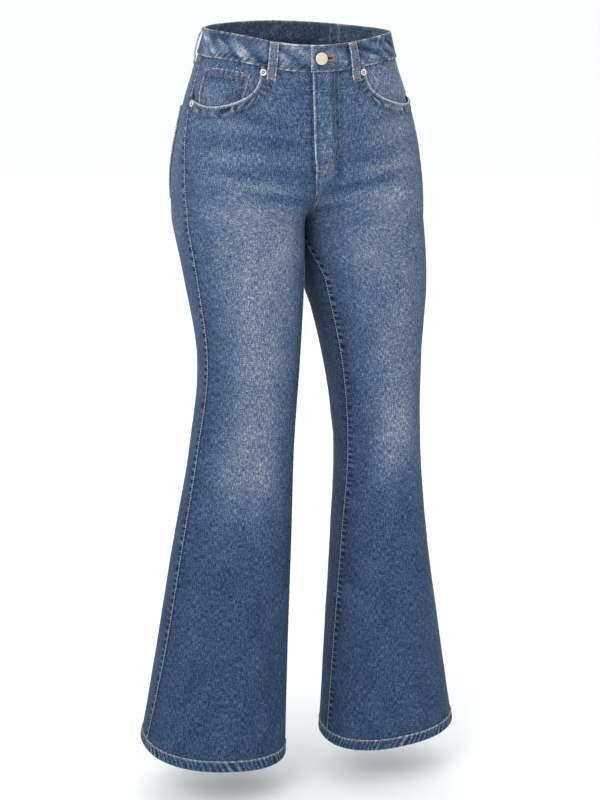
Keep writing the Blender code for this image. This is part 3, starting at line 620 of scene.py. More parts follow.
def openingLook(side, across, level):  # the opening's turned-in hem, its pale edge and its puckers
    away, run = openingNearest(side, across, level)
    rope = puckers(run, 0.0 * away, opening["spacing"], 1.0, 153 + 10 * side)
    start, end = opening["ladder"]
    ladder = rope * smoothStep((away - start) / 0.0015) * (1.0 - smoothStep((away - end) / 0.0030))
    rise = opening["hemRise"] * (1.0 - smoothStep((away - opening["hemWidth"]) / 0.003))
    gain = opening["ladderTone"] * np.where(ladder < 0.0, opening["darkGain"], opening["paleGain"])
    tone = sumBells(away, opening["bells"]) + gain * ladder
    # painted shadow just below the waistband
    tone = tone + sumBells(-level - band["height"], (opening["bandShadowBell"],))
    return rise + opening["ladderRise"] * ladder, tone


def flyLook(side, angle, level, fromMiddle):  # the raised lap, its worn bands and the seam below it
    upper = smoothStep((level - shape["crotch"] + 0.004) / 0.010)
    if side < 0:
        # on the right front: a painted shadow line beside the lap's edge
        return 0.0, upper * sumBells(fromMiddle, (fly["lapShadowBell"],))
    x = np.where(level > shape["crotch"], plainPoint(side, 1, angle, level)[..., 0], 1.0)
    inFly = smoothStep((level - fly["raiseEnd"]) / fly["fade"])
    below = upper * smoothStep((fly["raiseEnd"] + fly["fade"] - level) / 0.01)
    flap = sumBells(fromMiddle, (fly["flap"],)) * (0.45 + 0.55 * smoothNoise(-level, 0.0105, 41))
    ridge = bell(fromMiddle, *fly["ridge"][:2]) * (0.7 + 0.3 * smoothNoise(-level, 0.022, 43))
    tone = inFly * (flap + fly["ridge"][2] * ridge + sumBells(fromMiddle, fly["darkBells"]))
    tone = tone + upper * sumBells(fromMiddle, (fly["edgeBell"],))
    tone = tone + below * sumBells(fromMiddle, fly["seamBells"])
    return flyRaise(x, level) + inFly * fly["ridgeRise"] * ridge, tone


def panelLook(side, face, angle, level):  # relief over the form, and how pale the cloth is
    plainFirst, plainLast = seamAngles(side, face, level)
    first, last = frontAngles(side, level) if face > 0 else (plainFirst, plainLast)
    across = np.clip((angle - first) / (last - first), 0.0, 1.0)
    plainAcross = np.clip((angle - plainFirst) / (plainLast - plainFirst), 0.0, 1.0)
    wide = panelWidth(side, face, level)
    fromSide, fromMiddle = across * wide, (1.0 - across) * wide
    folds = sumFolds(foldRows, side, face, plainAcross, level) * fadeOut(plainAcross, creases["foldEdge"])
    fine = sumFolds(creaseRows, side, face, across, level) * fadeOut(across, creases["edge"])
    waves = ripples(fromSide, level, 100 + 10 * side + 3 * face)
    waves = waves * smoothStep(fromSide / cloth["rippleEase"]) * smoothStep(fromMiddle / cloth["rippleEase"])
    rise = folds + fine + cloth["rippleRise"] * waves
    tone = washTone(side, face, across, level) + sumFolds(whiskerRows, side, face, across, level)
    # paler on the crests of creases and folds and darker in their troughs: partly wear, partly painted shade
    tone = tone + creases["tonePerMetre"] * (fine + creases["foldShare"] * folds)
    tone = tone + cloth["rippleTone"] * waves
    looks = [seamLook(side, face, "side", fromSide, level), seamLook(side, face, "middle", fromMiddle, level)]
    if face > 0:
        looks += [openingLook(side, across, level), flyLook(side, angle, level, fromMiddle)]
    for moreRise, moreTone in looks:
        rise, tone = rise + moreRise, tone + moreTone
    return rise, tone, across, wide


# Meshes: a cloth wall from two grids of points, and its finish


def meshOf(name, bm):
    mesh = bpy.data.meshes.new(name)
    bm.to_mesh(mesh)
    bm.free()
    mesh.shade_smooth()
    return mesh


def addObject(name, data):
    made = bpy.data.objects.new(name, data)
    bpy.context.scene.collection.objects.link(made)
    return made


def objectOf(mesh, finishes):
    for finish in finishes:
        mesh.materials.append(finish)
    return addObject(mesh.name, mesh)


def clothMesh(name, outer, inner, uv, tone, insideTone, hole=None, closed=False):
    rows, columns = outer.shape[:2]
    outerPoints, innerPoints = outer.reshape(-1, 3), inner.reshape(-1, 3)
    flat = uv.reshape(-1, 2)
    shade, insideShade = (np.broadcast_to(t, (rows, columns)).reshape(-1) for t in (tone, insideTone))
    bm = bmesh.new()
    uvLayer = bm.loops.layers.uv.new("cloth")
    bmesh.ops.create_grid(bm, x_segments=columns - 1, y_segments=rows - 1, size=1.0)
    place = bm.verts.layers.int.new("place")
    lining = bm.verts.layers.int.new("lining")
    toneLayer = bm.verts.layers.float.new("tone")
    for index, vertex in enumerate(bm.verts):
        vertex[place] = index
        vertex[toneLayer] = shade[index]
        vertex.co = outerPoints[index]
    for face in bm.faces:
        for loop in face.loops:
            loop[uvLayer].uv = flat[loop.vert[place]]
    if hole:
        rowFrom, rowTo, columnFrom, columnTo = hole
        bm.faces.ensure_lookup_table()
        places = [(r, c) for r in range(rowFrom, rowTo) for c in range(columnFrom, columnTo)]
        bmesh.ops.delete(bm, geom=[bm.faces[r * (columns - 1) + c] for r, c in places], context="FACES")
    if closed:
        bmesh.ops.remove_doubles(bm, verts=bm.verts, dist=1e-6)
    sheet = bm.verts[:] + bm.edges[:] + bm.faces[:]
    made = bmesh.ops.extrude_face_region(bm, geom=sheet, use_keep_orig=True)
    for vertex in made["geom"]:
        if isinstance(vertex, bmesh.types.BMVert):
            vertex.co = innerPoints[vertex[place]]
            vertex[lining] = 1
            vertex[toneLayer] = insideShade[vertex[place]]
    bmesh.ops.recalc_face_normals(bm, faces=bm.faces)
    for face in bm.faces:
        if all(v[lining] for v in face.verts):
            face.material_index = 1
    return meshOf(name, bm)


def flatPlaces(points, middle):  # cloth coordinates: across from one column, and down from the first row
    acrossStep = np.linalg.norm(np.diff(points, axis=1), axis=-1)
    u = np.concatenate([np.zeros((len(points), 1)), np.cumsum(acrossStep, 1)], 1)
    u = u - u[:, middle][:, None]
    downStep = np.linalg.norm(np.diff(points[:, middle], axis=0), axis=-1)
    v = -np.concatenate([[0.0], np.cumsum(downStep)])
    return np.stack([u, np.repeat(v[:, None], points.shape[1], 1)], -1)


def clothArea(points):
    a = points[1:, 1:] - points[:-1, :-1]
    b = points[1:, :-1] - points[:-1, 1:]
    return float(np.linalg.norm(np.cross(a, b), axis=-1).sum() / 2.0)


sizes = []


def clothPiece(name, node, outer, inner, tone, middle=None, rests=(), finishes=None, insideTone=None, **cuts):
    uv = flatPlaces(outer, outer.shape[1] // 2 if middle is None else middle)
    mesh = clothMesh(name, outer, inner, uv, tone, tone if insideTone is None else insideTone, **cuts)
    piece = objectOf(mesh, finishes or (denim, denimInside))
    across = np.linalg.norm(np.diff(outer, axis=1), axis=-1).sum(1).max()
    down = np.linalg.norm(np.diff(outer, axis=0), axis=-1).sum(0).max()
    area = min(clothArea(outer), across * down)
    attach(piece, "root")
    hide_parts(node)
    sizes.append((piece.name, round(across, 3), round(down, 3), round(area, 4)))
    return piece


def partPoints(side, face, points):  # where a panel's neighbours lap it by a hair
    beside = np.abs(points[..., :1]) - cloth["centreFlat"]
    atCentre = 1.0 - smoothStep(beside / cloth["centreEase"])
    lap = cloth["seamGap"] * np.array([side, -face, 0.0]) / 2.0
    return points + lap - side * cloth["centreLap"] / 2.0 * atCentre * np.array([1.0, 0.0, 0.0])


def wallPoints(side, face, angle, level, out, edge, half):  # outer and inner grids with rounded edges
    side, face, angle, level, out, edge = spread(side, face, angle, level, out, edge)
    point, normal = formPoint(side, face, angle, level)
    swell = half * roundOff(edge, half)
    middle = out - half
    sign, front = side.flat[0], face.flat[0]
    outer = partPoints(sign, front, point + normal * (middle + swell)[..., None])
    return outer, partPoints(sign, front, point + normal * (middle - swell)[..., None])


def insetLine(start, end, inset, count):  # from start to end, close together beside both
    way = np.sign(end - start)
    middle = np.linspace(start + way * inset[-1], end - way * inset[-1], count)[1:-1]
    return np.concatenate([start + way * inset, middle, end - way * inset[::-1]])


def columnShares(middleCount):
    edge = np.array((0.0, 0.15, 0.4, 0.8, 1.4, 2.2, 3.2, 4.4, 5.8, 7.4, 9.4, 12.0)) / 200.0
    return insetLine(0.0, 1.0, edge, middleCount + 2)


# Finishes


def nodesOf(name):
    made = bpy.data.materials.new(name)
    made.use_nodes = True
    return made, made.node_tree.nodes, made.node_tree.links, made.node_tree.nodes["Principled BSDF"]


def mathNode(nodes, links, kind, a, b=None, c=None):
    node = nodes.new("ShaderNodeMath")
    node.operation = kind
    for socket, value in zip(node.inputs, (a, b, c)):
        if isinstance(value, (int, float)):
            socket.default_value = value
        elif value is not None:
            links.new(value, socket)
    return node.outputs[0]


def noiseNode(nodes, links, where, scale, detail=2.0, dimensions="2D"):
    mapping = nodes.new("ShaderNodeMapping")
    mapping.inputs["Scale"].default_value = scale
    links.new(where, mapping.inputs["Vector"])
    noise = nodes.new("ShaderNodeTexNoise")
    noise.noise_dimensions = dimensions
    noise.inputs["Scale"].default_value = 1.0
    noise.inputs["Detail"].default_value = detail
    noise.inputs["Roughness"].default_value = 0.6
    links.new(mapping.outputs["Vector"], noise.inputs["Vector"])
    return noise.outputs["Fac"]


def setInputs(node, values):
    for name, value in values.items():
        node.inputs[name].default_value = value


def addRamp(nodes, links, shader, value, stops):
    ramp = nodes.new("ShaderNodeValToRGB")
    elements = ramp.color_ramp.elements
    while len(elements) > 1:
        elements.remove(elements[-1])
    for index, (at, colour) in enumerate(stops):
        element = elements[0] if index == 0 else elements.new(at)
        element.position = at
        element.color = (*colour, 1.0)
    links.new(value, ramp.inputs["Fac"])
    links.new(ramp.outputs["Color"], shader.inputs["Base Color"])


def addBump(nodes, links, shader, height, distance, strength):
    bump = nodes.new("ShaderNodeBump")
    setInputs(bump, {"Distance": distance, "Strength": strength})
    links.new(height, bump.inputs["Height"])
    links.new(bump.outputs["Normal"], shader.inputs["Normal"])


denimLook = {
    "stops": (
        (0.00, (0.005, 0.012, 0.030)),
        (0.20, (0.007, 0.018, 0.045)),
        (0.30, (0.015, 0.035, 0.076)),
        (0.40, (0.028, 0.058, 0.116)),
        (0.55, (0.055, 0.098, 0.178)),
        (0.70, (0.138, 0.182, 0.240)),
        (0.85, (0.292, 0.332, 0.372)),
        (1.00, (0.540, 0.575, 0.600)),
    ),
    "warp": ((700.0, 150.0, 1.0), 0.62, 1.5),
    "weft": ((150.0, 700.0, 1.0), 0.40, 1.5),
    "grain": ((760.0, 760.0, 1.0), 0.60, 1.5),
    "cloud": ((34.0, 22.0, 1.0), 0.18, 3.0),
    "twill": 0.00085,
    "twillSlant": 0.6,
    "twillTone": 0.020,
    "twillRelief": 0.10,
    "bump": (0.00022, 0.55),
    "surface": {
        "Roughness": 0.88,
        "Specular IOR Level": 0.10,
        "Sheen Weight": 0.04,
        "Sheen Roughness": 0.45,
        "Sheen Tint": (0.72, 0.80, 0.92, 1.0),
    },
}
threadLook = {
    "scale": (900.0, 900.0, 900.0),
    "bump": (0.0002, 0.4),
    "surface": {"Roughness": 0.62, "Sheen Weight": 0.2},
}
metalLook = {"scale": (900.0, 900.0, 900.0), "bump": (0.00005, 0.3), "roughness": (0.8, 1.25)}


def makeDenim(name, shift=0.0, grainGain=1.0, stops=denimLook["stops"]):
    look = denimLook
    made, nodes, links, shader = nodesOf(name)
    uv = nodes.new("ShaderNodeUVMap")
    uv.uv_map = "cloth"
    tone = nodes.new("ShaderNodeAttribute")
    tone.attribute_name = "tone"
    total = mathNode(nodes, links, "ADD", tone.outputs["Fac"], shift)
    relief = 0.0
    for key in ("warp", "weft", "grain", "cloud"):
        scale, gain, detail = look[key]
        noise = noiseNode(nodes, links, uv.outputs["UV"], scale, detail)
        centred = mathNode(nodes, links, "SUBTRACT", noise, 0.5)
        total = mathNode(nodes, links, "MULTIPLY_ADD", centred, gain * grainGain, total)
        if key != "cloud":
            relief = mathNode(nodes, links, "MULTIPLY_ADD", centred, gain, relief)
    split = nodes.new("ShaderNodeSeparateXYZ")
    links.new(uv.outputs["UV"], split.inputs[0])
    slant = mathNode(nodes, links, "MULTIPLY_ADD", split.outputs["Y"], look["twillSlant"], split.outputs["X"])
    phase = mathNode(nodes, links, "MULTIPLY", slant, 2.0 * np.pi / look["twill"])
    lines = mathNode(nodes, links, "SINE", phase)
    total = mathNode(nodes, links, "MULTIPLY_ADD", lines, look["twillTone"], total)
    relief = mathNode(nodes, links, "MULTIPLY_ADD", lines, look["twillRelief"], relief)
    addRamp(nodes, links, shader, total, stops)
    addBump(nodes, links, shader, relief, *look["bump"])
    setInputs(shader, look["surface"])
    return made


insideStops = (
    (0.00, (0.030, 0.048, 0.085)),
    (0.30, (0.095, 0.130, 0.190)),
    (0.50, (0.170, 0.215, 0.280)),
    (0.70, (0.270, 0.320, 0.380)),
    (1.00, (0.480, 0.520, 0.560)),
)


def makeThread(name, colour, dark):
    made, nodes, links, shader = nodesOf(name)
    where = nodes.new("ShaderNodeTexCoord")
    noise = noiseNode(nodes, links, where.outputs["Object"], threadLook["scale"], 2.0, "3D")
    addRamp(nodes, links, shader, noise, ((0.30, dark), (0.62, colour)))
    addBump(nodes, links, shader, noise, *threadLook["bump"])
    setInputs(shader, threadLook["surface"])
    return made


def makeMetal(name, colour, dark, roughness):
    made, nodes, links, shader = nodesOf(name)
    where = nodes.new("ShaderNodeTexCoord")
    noise = noiseNode(nodes, links, where.outputs["Object"], metalLook["scale"], 4.0, "3D")
    addRamp(nodes, links, shader, noise, ((0.25, dark), (0.60, colour)))
    addBump(nodes, links, shader, noise, *metalLook["bump"])
    low, high = metalLook["roughness"]
    rough = nodes.new("ShaderNodeMapRange")
    setInputs(rough, {"To Min": roughness * low, "To Max": roughness * high})
    links.new(noise, rough.inputs["Value"])
    links.new(rough.outputs["Result"], shader.inputs["Roughness"])
    setInputs(shader, {"Metallic": 1.0})
    return made


denim = makeDenim("denim")
denimInside = makeDenim("denimInside", 0.0, 0.7, insideStops)
# a slightly darker copy of denim for the inner faces of the band and hems: painted shade
shadedDenimInside = makeDenim("shadedDenimInside", -0.01)
threads = {
    "brown": makeThread("threadBrown", (0.205, 0.100, 0.048), (0.090, 0.044, 0.022)),
    "gold": makeThread("threadGold", (0.480, 0.200, 0.055), (0.260, 0.095, 0.025)),
    "cream": makeThread("threadCream", (0.620, 0.570, 0.480), (0.380, 0.340, 0.270)),
    "tan": makeThread("threadTan", (0.300, 0.190, 0.105), (0.140, 0.085, 0.050)),
}
buttonMetal = makeMetal("buttonMetal", (0.78, 0.70, 0.57), (0.64, 0.56, 0.44), 0.38)
rivetMetal = makeMetal("rivetMetal", (0.74, 0.71, 0.66), (0.52, 0.49, 0.45), 0.30)
# near-black metal for the rivets' ring groove: painted shade in the recess
grooveShadeMetal = makeMetal("grooveShadeMetal", (0.10, 0.09, 0.08), (0.04, 0.035, 0.03), 0.45)
zipMetal = makeMetal("zipMetal", (0.52, 0.44, 0.30), (0.36, 0.29, 0.18), 0.36)
zipTape = makeDenim("zipTape", -0.30, 0.5)
print("finishes made")


# Panels


def lowerLevels():  # even rows from below the pocket opening to the hem
    bottom = hemTop + cloth["seamGap"]
    count = int((opening["fanLevel"] - bottom) / cloth["rowStep"])
    return np.linspace(opening["fanLevel"], bottom, count + 1)[1:, None]


def frontGrid(side):  # places of the front's grid: share across, level, and distance from the top edge
    share = columnShares(37)
    curveAcross, curveLevel, corner = frontEdge(side)
    wide = panelWidth(side, 1, opening["widthLevel"])
    across = np.append(curveAcross, 1.0)
    level = np.append(curveLevel, curveLevel[-1])
    run = runOf(across * wide, level)
    at = share * run[-1]
    at[np.abs(at - run[-2]).argmin()] = run[-2]
    edgeAcross, edgeLevel = np.interp(at, run, across), np.interp(at, run, level)
    soft = np.array((1.0, 2.0, 3.0, 2.0, 1.0)) / 9.0
    slopes = (np.gradient(edgeAcross * wide), np.gradient(edgeLevel))
    along, up = (np.convolve(np.pad(slope, 2, "edge"), soft, "valid") for slope in slopes)
    up[0] = up[-1] = 0.0
    size = np.hypot(along, up)
    bend = 0.9 * corner
    bendShare = run[np.abs(curveAcross - bend).argmin()] / run[-1]
    fanShares = (0.0, bendShare, run[-2] / run[-1], 1.0)
    fan = np.interp(share, fanShares, (0.0, bend + 0.02, corner + 0.15, 1.0))
    inset = np.array(cloth["edgeInset"])[:, None]
    rowsAcross = edgeAcross + up / size / wide * inset
    rowsLevel = edgeLevel - along / size * inset
    down = np.linspace(0.0, 1.0, 37)[1:, None]
    fanAcross = rowsAcross[-1] + (fan - rowsAcross[-1]) * down
    fanLevel = rowsLevel[-1] + (opening["fanLevel"] - rowsLevel[-1]) * down
    lower = lowerLevels()
    lowerAcross = fan + (share - fan) * smoothStep((opening["fanLevel"] - lower) / 0.16)
    across = np.concatenate([rowsAcross, fanAcross, lowerAcross])
    level = np.concatenate([rowsLevel, fanLevel, lower + 0.0 * share])
    below = inset[-1] + 0.002 * np.arange(1, len(across) - len(inset) + 1)[:, None]
    return np.clip(across, 0.0, 1.0), level, np.concatenate([inset, below]) + 0.0 * share


def makePanel(name, node, side, face, angle, level, topAway):
    rise, tone, across, wide = panelLook(side, face, angle, level)
    edge = np.minimum(topAway, np.minimum(across, 1.0 - across) * wide)
    walls = wallPoints(side, face, angle, level, rise, edge, cloth["thickness"] / 2.0)
    clothPiece(name, node, *walls, tone)


def makeFront(word, side):
    across, level, topAway = frontGrid(side)
    first, last = frontAngles(side, level)
    angle = first + (last - first) * across
    makePanel(f"front_cloth_{word}", f"front_{word}", side, 1, angle, level, topAway)


def makeBack(word, side):
    share = columnShares(46)
    top = yokeLevel(share) - cloth["seamGap"] / 2.0
    start = top - np.array(cloth["edgeInset"])[:, None]
    count = int(np.ceil((np.max(top) - opening["fanLevel"]) / 0.0024))
    down = np.linspace(0.0, 1.0, count + 1)[1:, None]
    upper = start[-1] + (opening["fanLevel"] - start[-1]) * down
    level = np.concatenate([start, upper, lowerLevels() + 0.0 * share])
    first, last = seamAngles(side, -1, level)
    angle = first + (last - first) * share
    makePanel(f"back_cloth_{word}", f"back_{word}", side, -1, angle, level, top - level)


def makeYoke(word, side):
    share = columnShares(46)
    top = -(band["height"] + cloth["seamGap"]) + 0.0 * share
    bottom = yokeLevel(share) + cloth["seamGap"] / 2.0
    inset = np.array(cloth["edgeInset"])[:, None]
    down = np.linspace(0.0, 1.0, 21)[1:-1, None]
    middle = top - inset[-1] + (bottom - top + 2.0 * inset[-1]) * down
    level = np.concatenate([top - inset, middle, bottom + inset[::-1]])
    first, last = seamAngles(side, -1, level)
    angle = first + (last - first) * share
    rise, tone, across, wide = panelLook(side, -1, angle, level)
    fromSeam = level - bottom
    felt = 1.0 - smoothStep((fromSeam - yoke["feltWidth"]) / 0.003)
    rope = puckers(across * wide, fromSeam, 0.0090, 0.011, 300 + side)
    rise = rise + yoke["feltRise"] * felt + yoke["ropeRise"] * rope
    tone = tone + yoke["ropeTone"] * rope + sumBells(fromSeam, (yoke["edgeBell"],))
    edge = np.minimum(np.minimum(top - level, fromSeam), np.minimum(across, 1.0 - across) * wide)
    walls = wallPoints(side, -1, angle, level, rise, edge, cloth["thickness"] / 2.0)
    clothPiece(f"yoke_cloth_{word}", f"yoke_{word}", *walls, tone)


# Pocket facings and the coin pocket

facing = {
    "depth": -0.128,
    "reach": 1.22,
    "sunk": -0.0033,
    "flush": -0.0004,
    "width": 0.19,
    "tones": {-1: 0.525, 1: 0.625},
    "ropeTone": 0.05,
    # painted shadow just below the waistband
    "bandShadowBell": (0.0, 0.006, -0.08),
    "leftBell": (0.18, 0.16, 0.035),
}
coin = {
    "from": 13.0,
    "to": 54.0,
    "narrow": 0.15,
    "top": -0.049,
    "bottom": -0.122,
    "width": 0.041,
    "thickness": 0.0010,
    "gap": 0.0004,
    "tone": 0.510,
    "ropeTone": 0.150,
    "ropeRise": 0.00014,
    "cloudTone": 0.10,
    "edgeBells": ((0.0, 0.0014, 0.26), (0.0032, 0.0011, -0.12)),
    "topBell": (0.0125, 0.002, -0.12),
}


def facingOut(side, angle, level):  # flush inside the opening, sunk where it runs on under the front
    first, last = frontAngles(side, level)
    across = (angle - first) / (last - first)
    edgeAcross, edgeLevel, corner = frontEdge(side)
    inside = (across < corner) & (level > np.interp(across, edgeAcross, edgeLevel))
    away = np.where(inside, openingNearest(side, across, level)[0], 0.0)
    return facing["sunk"] + (facing["flush"] - facing["sunk"]) * smoothStep((away - 0.003) / 0.010)


def facingTone(side, angle, level):
    first, last = seamAngles(side, 1, level)
    across = (angle - first) / (last - first)
    fromBand = -level - band["height"]
    rope = puckers(across * facing["width"], fromBand, 0.0085, 0.012, 500 + side)
    # painted shadow just below the waistband
    tone = facing["tones"][side] + facing["ropeTone"] * rope + sumBells(fromBand, (facing["bandShadowBell"],))
    return tone + (sumBells(across, (facing["leftBell"],)) if side > 0 else 0.0)


def makeFacing(word, side):
    level = np.linspace(-(band["height"] + cloth["seamGap"]), facing["depth"], 40)[:, None]
    first, last = seamAngles(side, 1, level)
    reach = openingShare(side) * facing["reach"]
    angle, level = spread(first + (last - first) * reach * np.linspace(0.0, 1.0, 60), level)
    out = facingOut(side, angle, level)
    walls = wallPoints(side, 1, angle, level, out, 1.0, cloth["thickness"] / 2.0)
    tone = facingTone(side, angle, level)
    clothPiece(f"pocket_facing_cloth_{word}", f"pocket_facing_{word}", *walls, tone)


def coinPlace(across, down):  # shares from the outer side and from the top
    middle, half = (coin["from"] + coin["to"]) / 2.0, (coin["to"] - coin["from"]) / 2.0
    angle = np.radians(middle + half * (2.0 * across - 1.0) * (1.0 - coin["narrow"] * down))
    return spread(angle, coin["top"] + (coin["bottom"] - coin["top"]) * down)


def coinOut(angle, level):
    return facingOut(-1, angle, level) + coin["gap"] + coin["thickness"]


def makeCoinPocket():
    edge = np.array((0.0, 0.004, 0.011, 0.022, 0.038))
    across = insetLine(0.0, 1.0, edge, 30)
    down = np.concatenate([edge * 0.8, np.linspace(edge[-1] * 0.8, 1.0, 34)[1:]])[:, None]
    angle, level = coinPlace(across, down)
    fromSide = np.minimum(across, 1.0 - across) * coin["width"] + 0.0 * level
    fromTop = down * (coin["top"] - coin["bottom"]) + 0.0 * level
    fromEdge = np.minimum(fromSide, fromTop)
    rope = puckers(-level, fromSide, 0.0075, 0.007, 610)
    rope = rope + 1.4 * puckers(angle * 0.1, fromTop, 0.0062, 0.009, 611)
    cloud = smoothNoise(angle * 0.1 + 0.4 * level, 0.010, 613) * smoothStep((fromTop - 0.015) / 0.01)
    tone = coin["tone"] + coin["ropeTone"] * rope + coin["cloudTone"] * cloud
    tone = tone + sumBells(fromEdge, coin["edgeBells"]) + sumBells(fromTop, (coin["topBell"],))
    out = coinOut(angle, level) + coin["ropeRise"] * rope
    walls = wallPoints(-1, 1, angle, level, out, fromEdge, coin["thickness"] / 2.0)
    clothPiece("coin_pocket_cloth", "coin_pocket", *walls, tone, middle=18)


# Back pockets

pocket = {
    "centre": 0.50,
    "top": -0.112,
    "halfTop": 0.073,
    "halfLow": 0.062,
    "side": 0.128,
    "point": 0.024,
    "lean": 0.006,
    "thickness": 0.0016,
    "gap": 0.0007,
    "ropeRises": (0.00016, 0.00012),  # beside the sewing, and along the top
    "ropeTones": (0.065, 0.05),
    "tone": 0.015,
    "sink": 0.0003,
    "belly": 0.00035,
    "edgeBell": (0.0, 0.0015, 0.24),
}


def backWidth(side):
    return float(panelWidth(side, -1, pocket["top"] - pocket["side"] / 2.0))


def pocketPlace(side, wide, down):  # wide from -1 to 1, down from 0 to 1
    wide, down = spread(wide, down)
    drop = down * (pocket["side"] + pocket["point"] * (1.0 - np.abs(wide)))
    half = pocket["halfTop"] + (pocket["halfLow"] - pocket["halfTop"]) * drop / pocket["side"]
    level = pocket["top"] - drop - pocket["lean"] * wide
    first, last = seamAngles(side, -1, level)
    across = pocket["centre"] + wide * half / backWidth(side)
    return first + (last - first) * across, level, half, drop


def pocketLook(side, wide, down):
    angle, level, half, drop = pocketPlace(side, wide, down)
    bottom = pocket["side"] + pocket["point"] * (1.0 - np.abs(wide))
    seamEdge = np.minimum((1.0 - np.abs(wide)) * half, (bottom - drop) * 0.95)
    edge = np.minimum(seamEdge, drop)
    rope = puckers(drop + 0.5 * wide * half, seamEdge, 0.0085, 0.009, 700 + side)
    topRope = puckers(wide * half, drop, 0.0085, 0.014, 710 + side)
    rise, tone, _, _ = panelLook(side, -1, angle, level)
    rise = rise + pocket["gap"] + pocket["thickness"]
    rise = rise + pocket["ropeRises"][0] * rope + pocket["ropeRises"][1] * topRope
    rise = rise - pocket["sink"] * smoothStep((seamEdge - 0.009) / 0.003)
    rise = rise + pocket["belly"] * smoothStep(seamEdge / 0.02) * smoothStep(drop / 0.02)
    tone = tone + pocket["tone"] + pocket["ropeTones"][0] * rope + pocket["ropeTones"][1] * topRope
    return angle, level, rise, tone + sumBells(edge, (pocket["edgeBell"],)), edge


def makeBackPocket(word, side):
    inset = np.array((0.0, 0.2, 0.5, 1.0, 1.8, 3.0)) / 70.0
    wide, down = spread(insetLine(-1.0, 1.0, inset, 44), insetLine(0.0, 1.0, inset * 0.5, 50)[:, None])
    angle, level, rise, tone, edge = pocketLook(side, wide, down)
    walls = wallPoints(side, -1, angle, level, rise, edge, pocket["thickness"] / 2.0)
    clothPiece(f"back_pocket_cloth_{word}", f"back_pocket_{word}", *walls, tone, middle=28,
               rests=(f"back_{word}",))


# Waistband and belt loops

loopPlaces = (
    ("front_right", -22.0, -22.2),
    ("front_left", 22.0, 22.2),
    ("side_right", -106.5, -107.5),
    ("side_left", 106.5, 107.5),
    ("back", 180.0, 180.0),
)


def waistPlace(theta, level):
    theta, level = spread(theta, level)
    theta = (theta + np.pi) % (2.0 * np.pi) - np.pi
    side = np.where(theta < 0.0, -1, 1)
    turn = np.abs(theta)
    face = np.where(turn < np.pi / 2.0, 1, -1)
    return side, face, np.abs(turn - np.pi / 2.0), level


def waistPoint(theta, level, out):
    side, face, angle, level = waistPlace(theta, level)
    point, normal = formPoint(side, face, angle, level)
    return point + normal * np.broadcast_to(out, level.shape)[..., None], normal


def bandLap(theta):  # how far each end of the band stands in or out where the two lap
    x = xAtTheta(theta, np.array(band["holeLevel"]))
    pastUnder = smoothStep((band["overX"] - band["lapSpare"] - x) / band["ease"])
    pastOver = smoothStep((x - band["underX"] - band["lapSpare"]) / band["ease"])
    lap = np.where(theta > -np.pi / 2.0, band["underOut"] * (1.0 - pastUnder), 0.0)
    return np.where(theta < -1.5 * np.pi, band["overOut"] * (1.0 - pastOver), lap)


def bandThetas(*names):  # angles round the waist of places that the band's settings name
    return [float(thetaAtX(band[name], np.array(band["holeLevel"]))) for name in names]


def bandLook(theta, level):
    theta, level = spread(theta, level)
    run = theta * band["runRadius"]
    fromTop, fromLow = -level, level + band["height"]
    edge = np.minimum(fromTop, fromLow)
    topRope = puckers(run, fromTop, 0.0105, 0.010, 801, 0.8)
    lowRope = puckers(run, fromLow, 0.0098, 0.011, 805, -0.9)
    slant = smoothNoise(run + 1.5 * level, 0.013, 809)
    slant = slant * (0.6 + 0.8 * smoothNoise(run - 0.5 * level, 0.030, 812))
    wedge = smoothNoise(run + 2.2 * level, 0.0115, 815) * smoothNoise(run - 0.8 * level, 0.024, 818)
    uneven = (topRope, lowRope, slant, wedge)
    rise = sum(gain * form for gain, form in zip(band["rises"], uneven))
    rise = rise + sumBells(edge, (band["edgeRidge"],))
    tone = band["tone"] + sum(gain * form for gain, form in zip(band["tones"], uneven))
    tone = tone + sumBells(edge, band["edgeBells"])
    # painted shade on the band beside each belt loop
    for _, angleTop, _ in loopPlaces:
        apart = np.abs((theta - np.radians(angleTop) + np.pi) % (2.0 * np.pi) - np.pi) * band["loopRadius"]
        tone = tone + sumBells(apart, (band["loopShadowBell"],))
    fromEnd = (theta + 2.0 * np.pi - bandThetas("overX")[0]) * band["endRadius"]
    onOver = theta < -1.9 * np.pi
    tone = tone + np.where(onOver, sumBells(fromEnd, band["endBells"]), 0.0)
    rise = rise + np.where(onOver, sumBells(fromEnd, (band["endRidge"],)), 0.0)
    return rise, tone, edge, np.where(onOver, fromEnd, 1.0)


def bandInside(theta, level):  # pale puckers across the inside, and a dark strip low down
    run = theta * band["runRadius"]
    bar = np.clip(puckers(run, 0.0 * run, 0.0130, 1.0, 821), 0.0, 1.0) ** 3
    fromLow = level + band["height"]
    plain, barTone, unevenTone = band["insideTones"]
    tone = plain + barTone * bar + unevenTone * smoothNoise(run + level, 0.012, 823)
    tone = tone + sumBells(np.minimum(-level, fromLow), (band["insideEdge"],))
    return tone + sumBells(fromLow, (band["insideStrip"],))


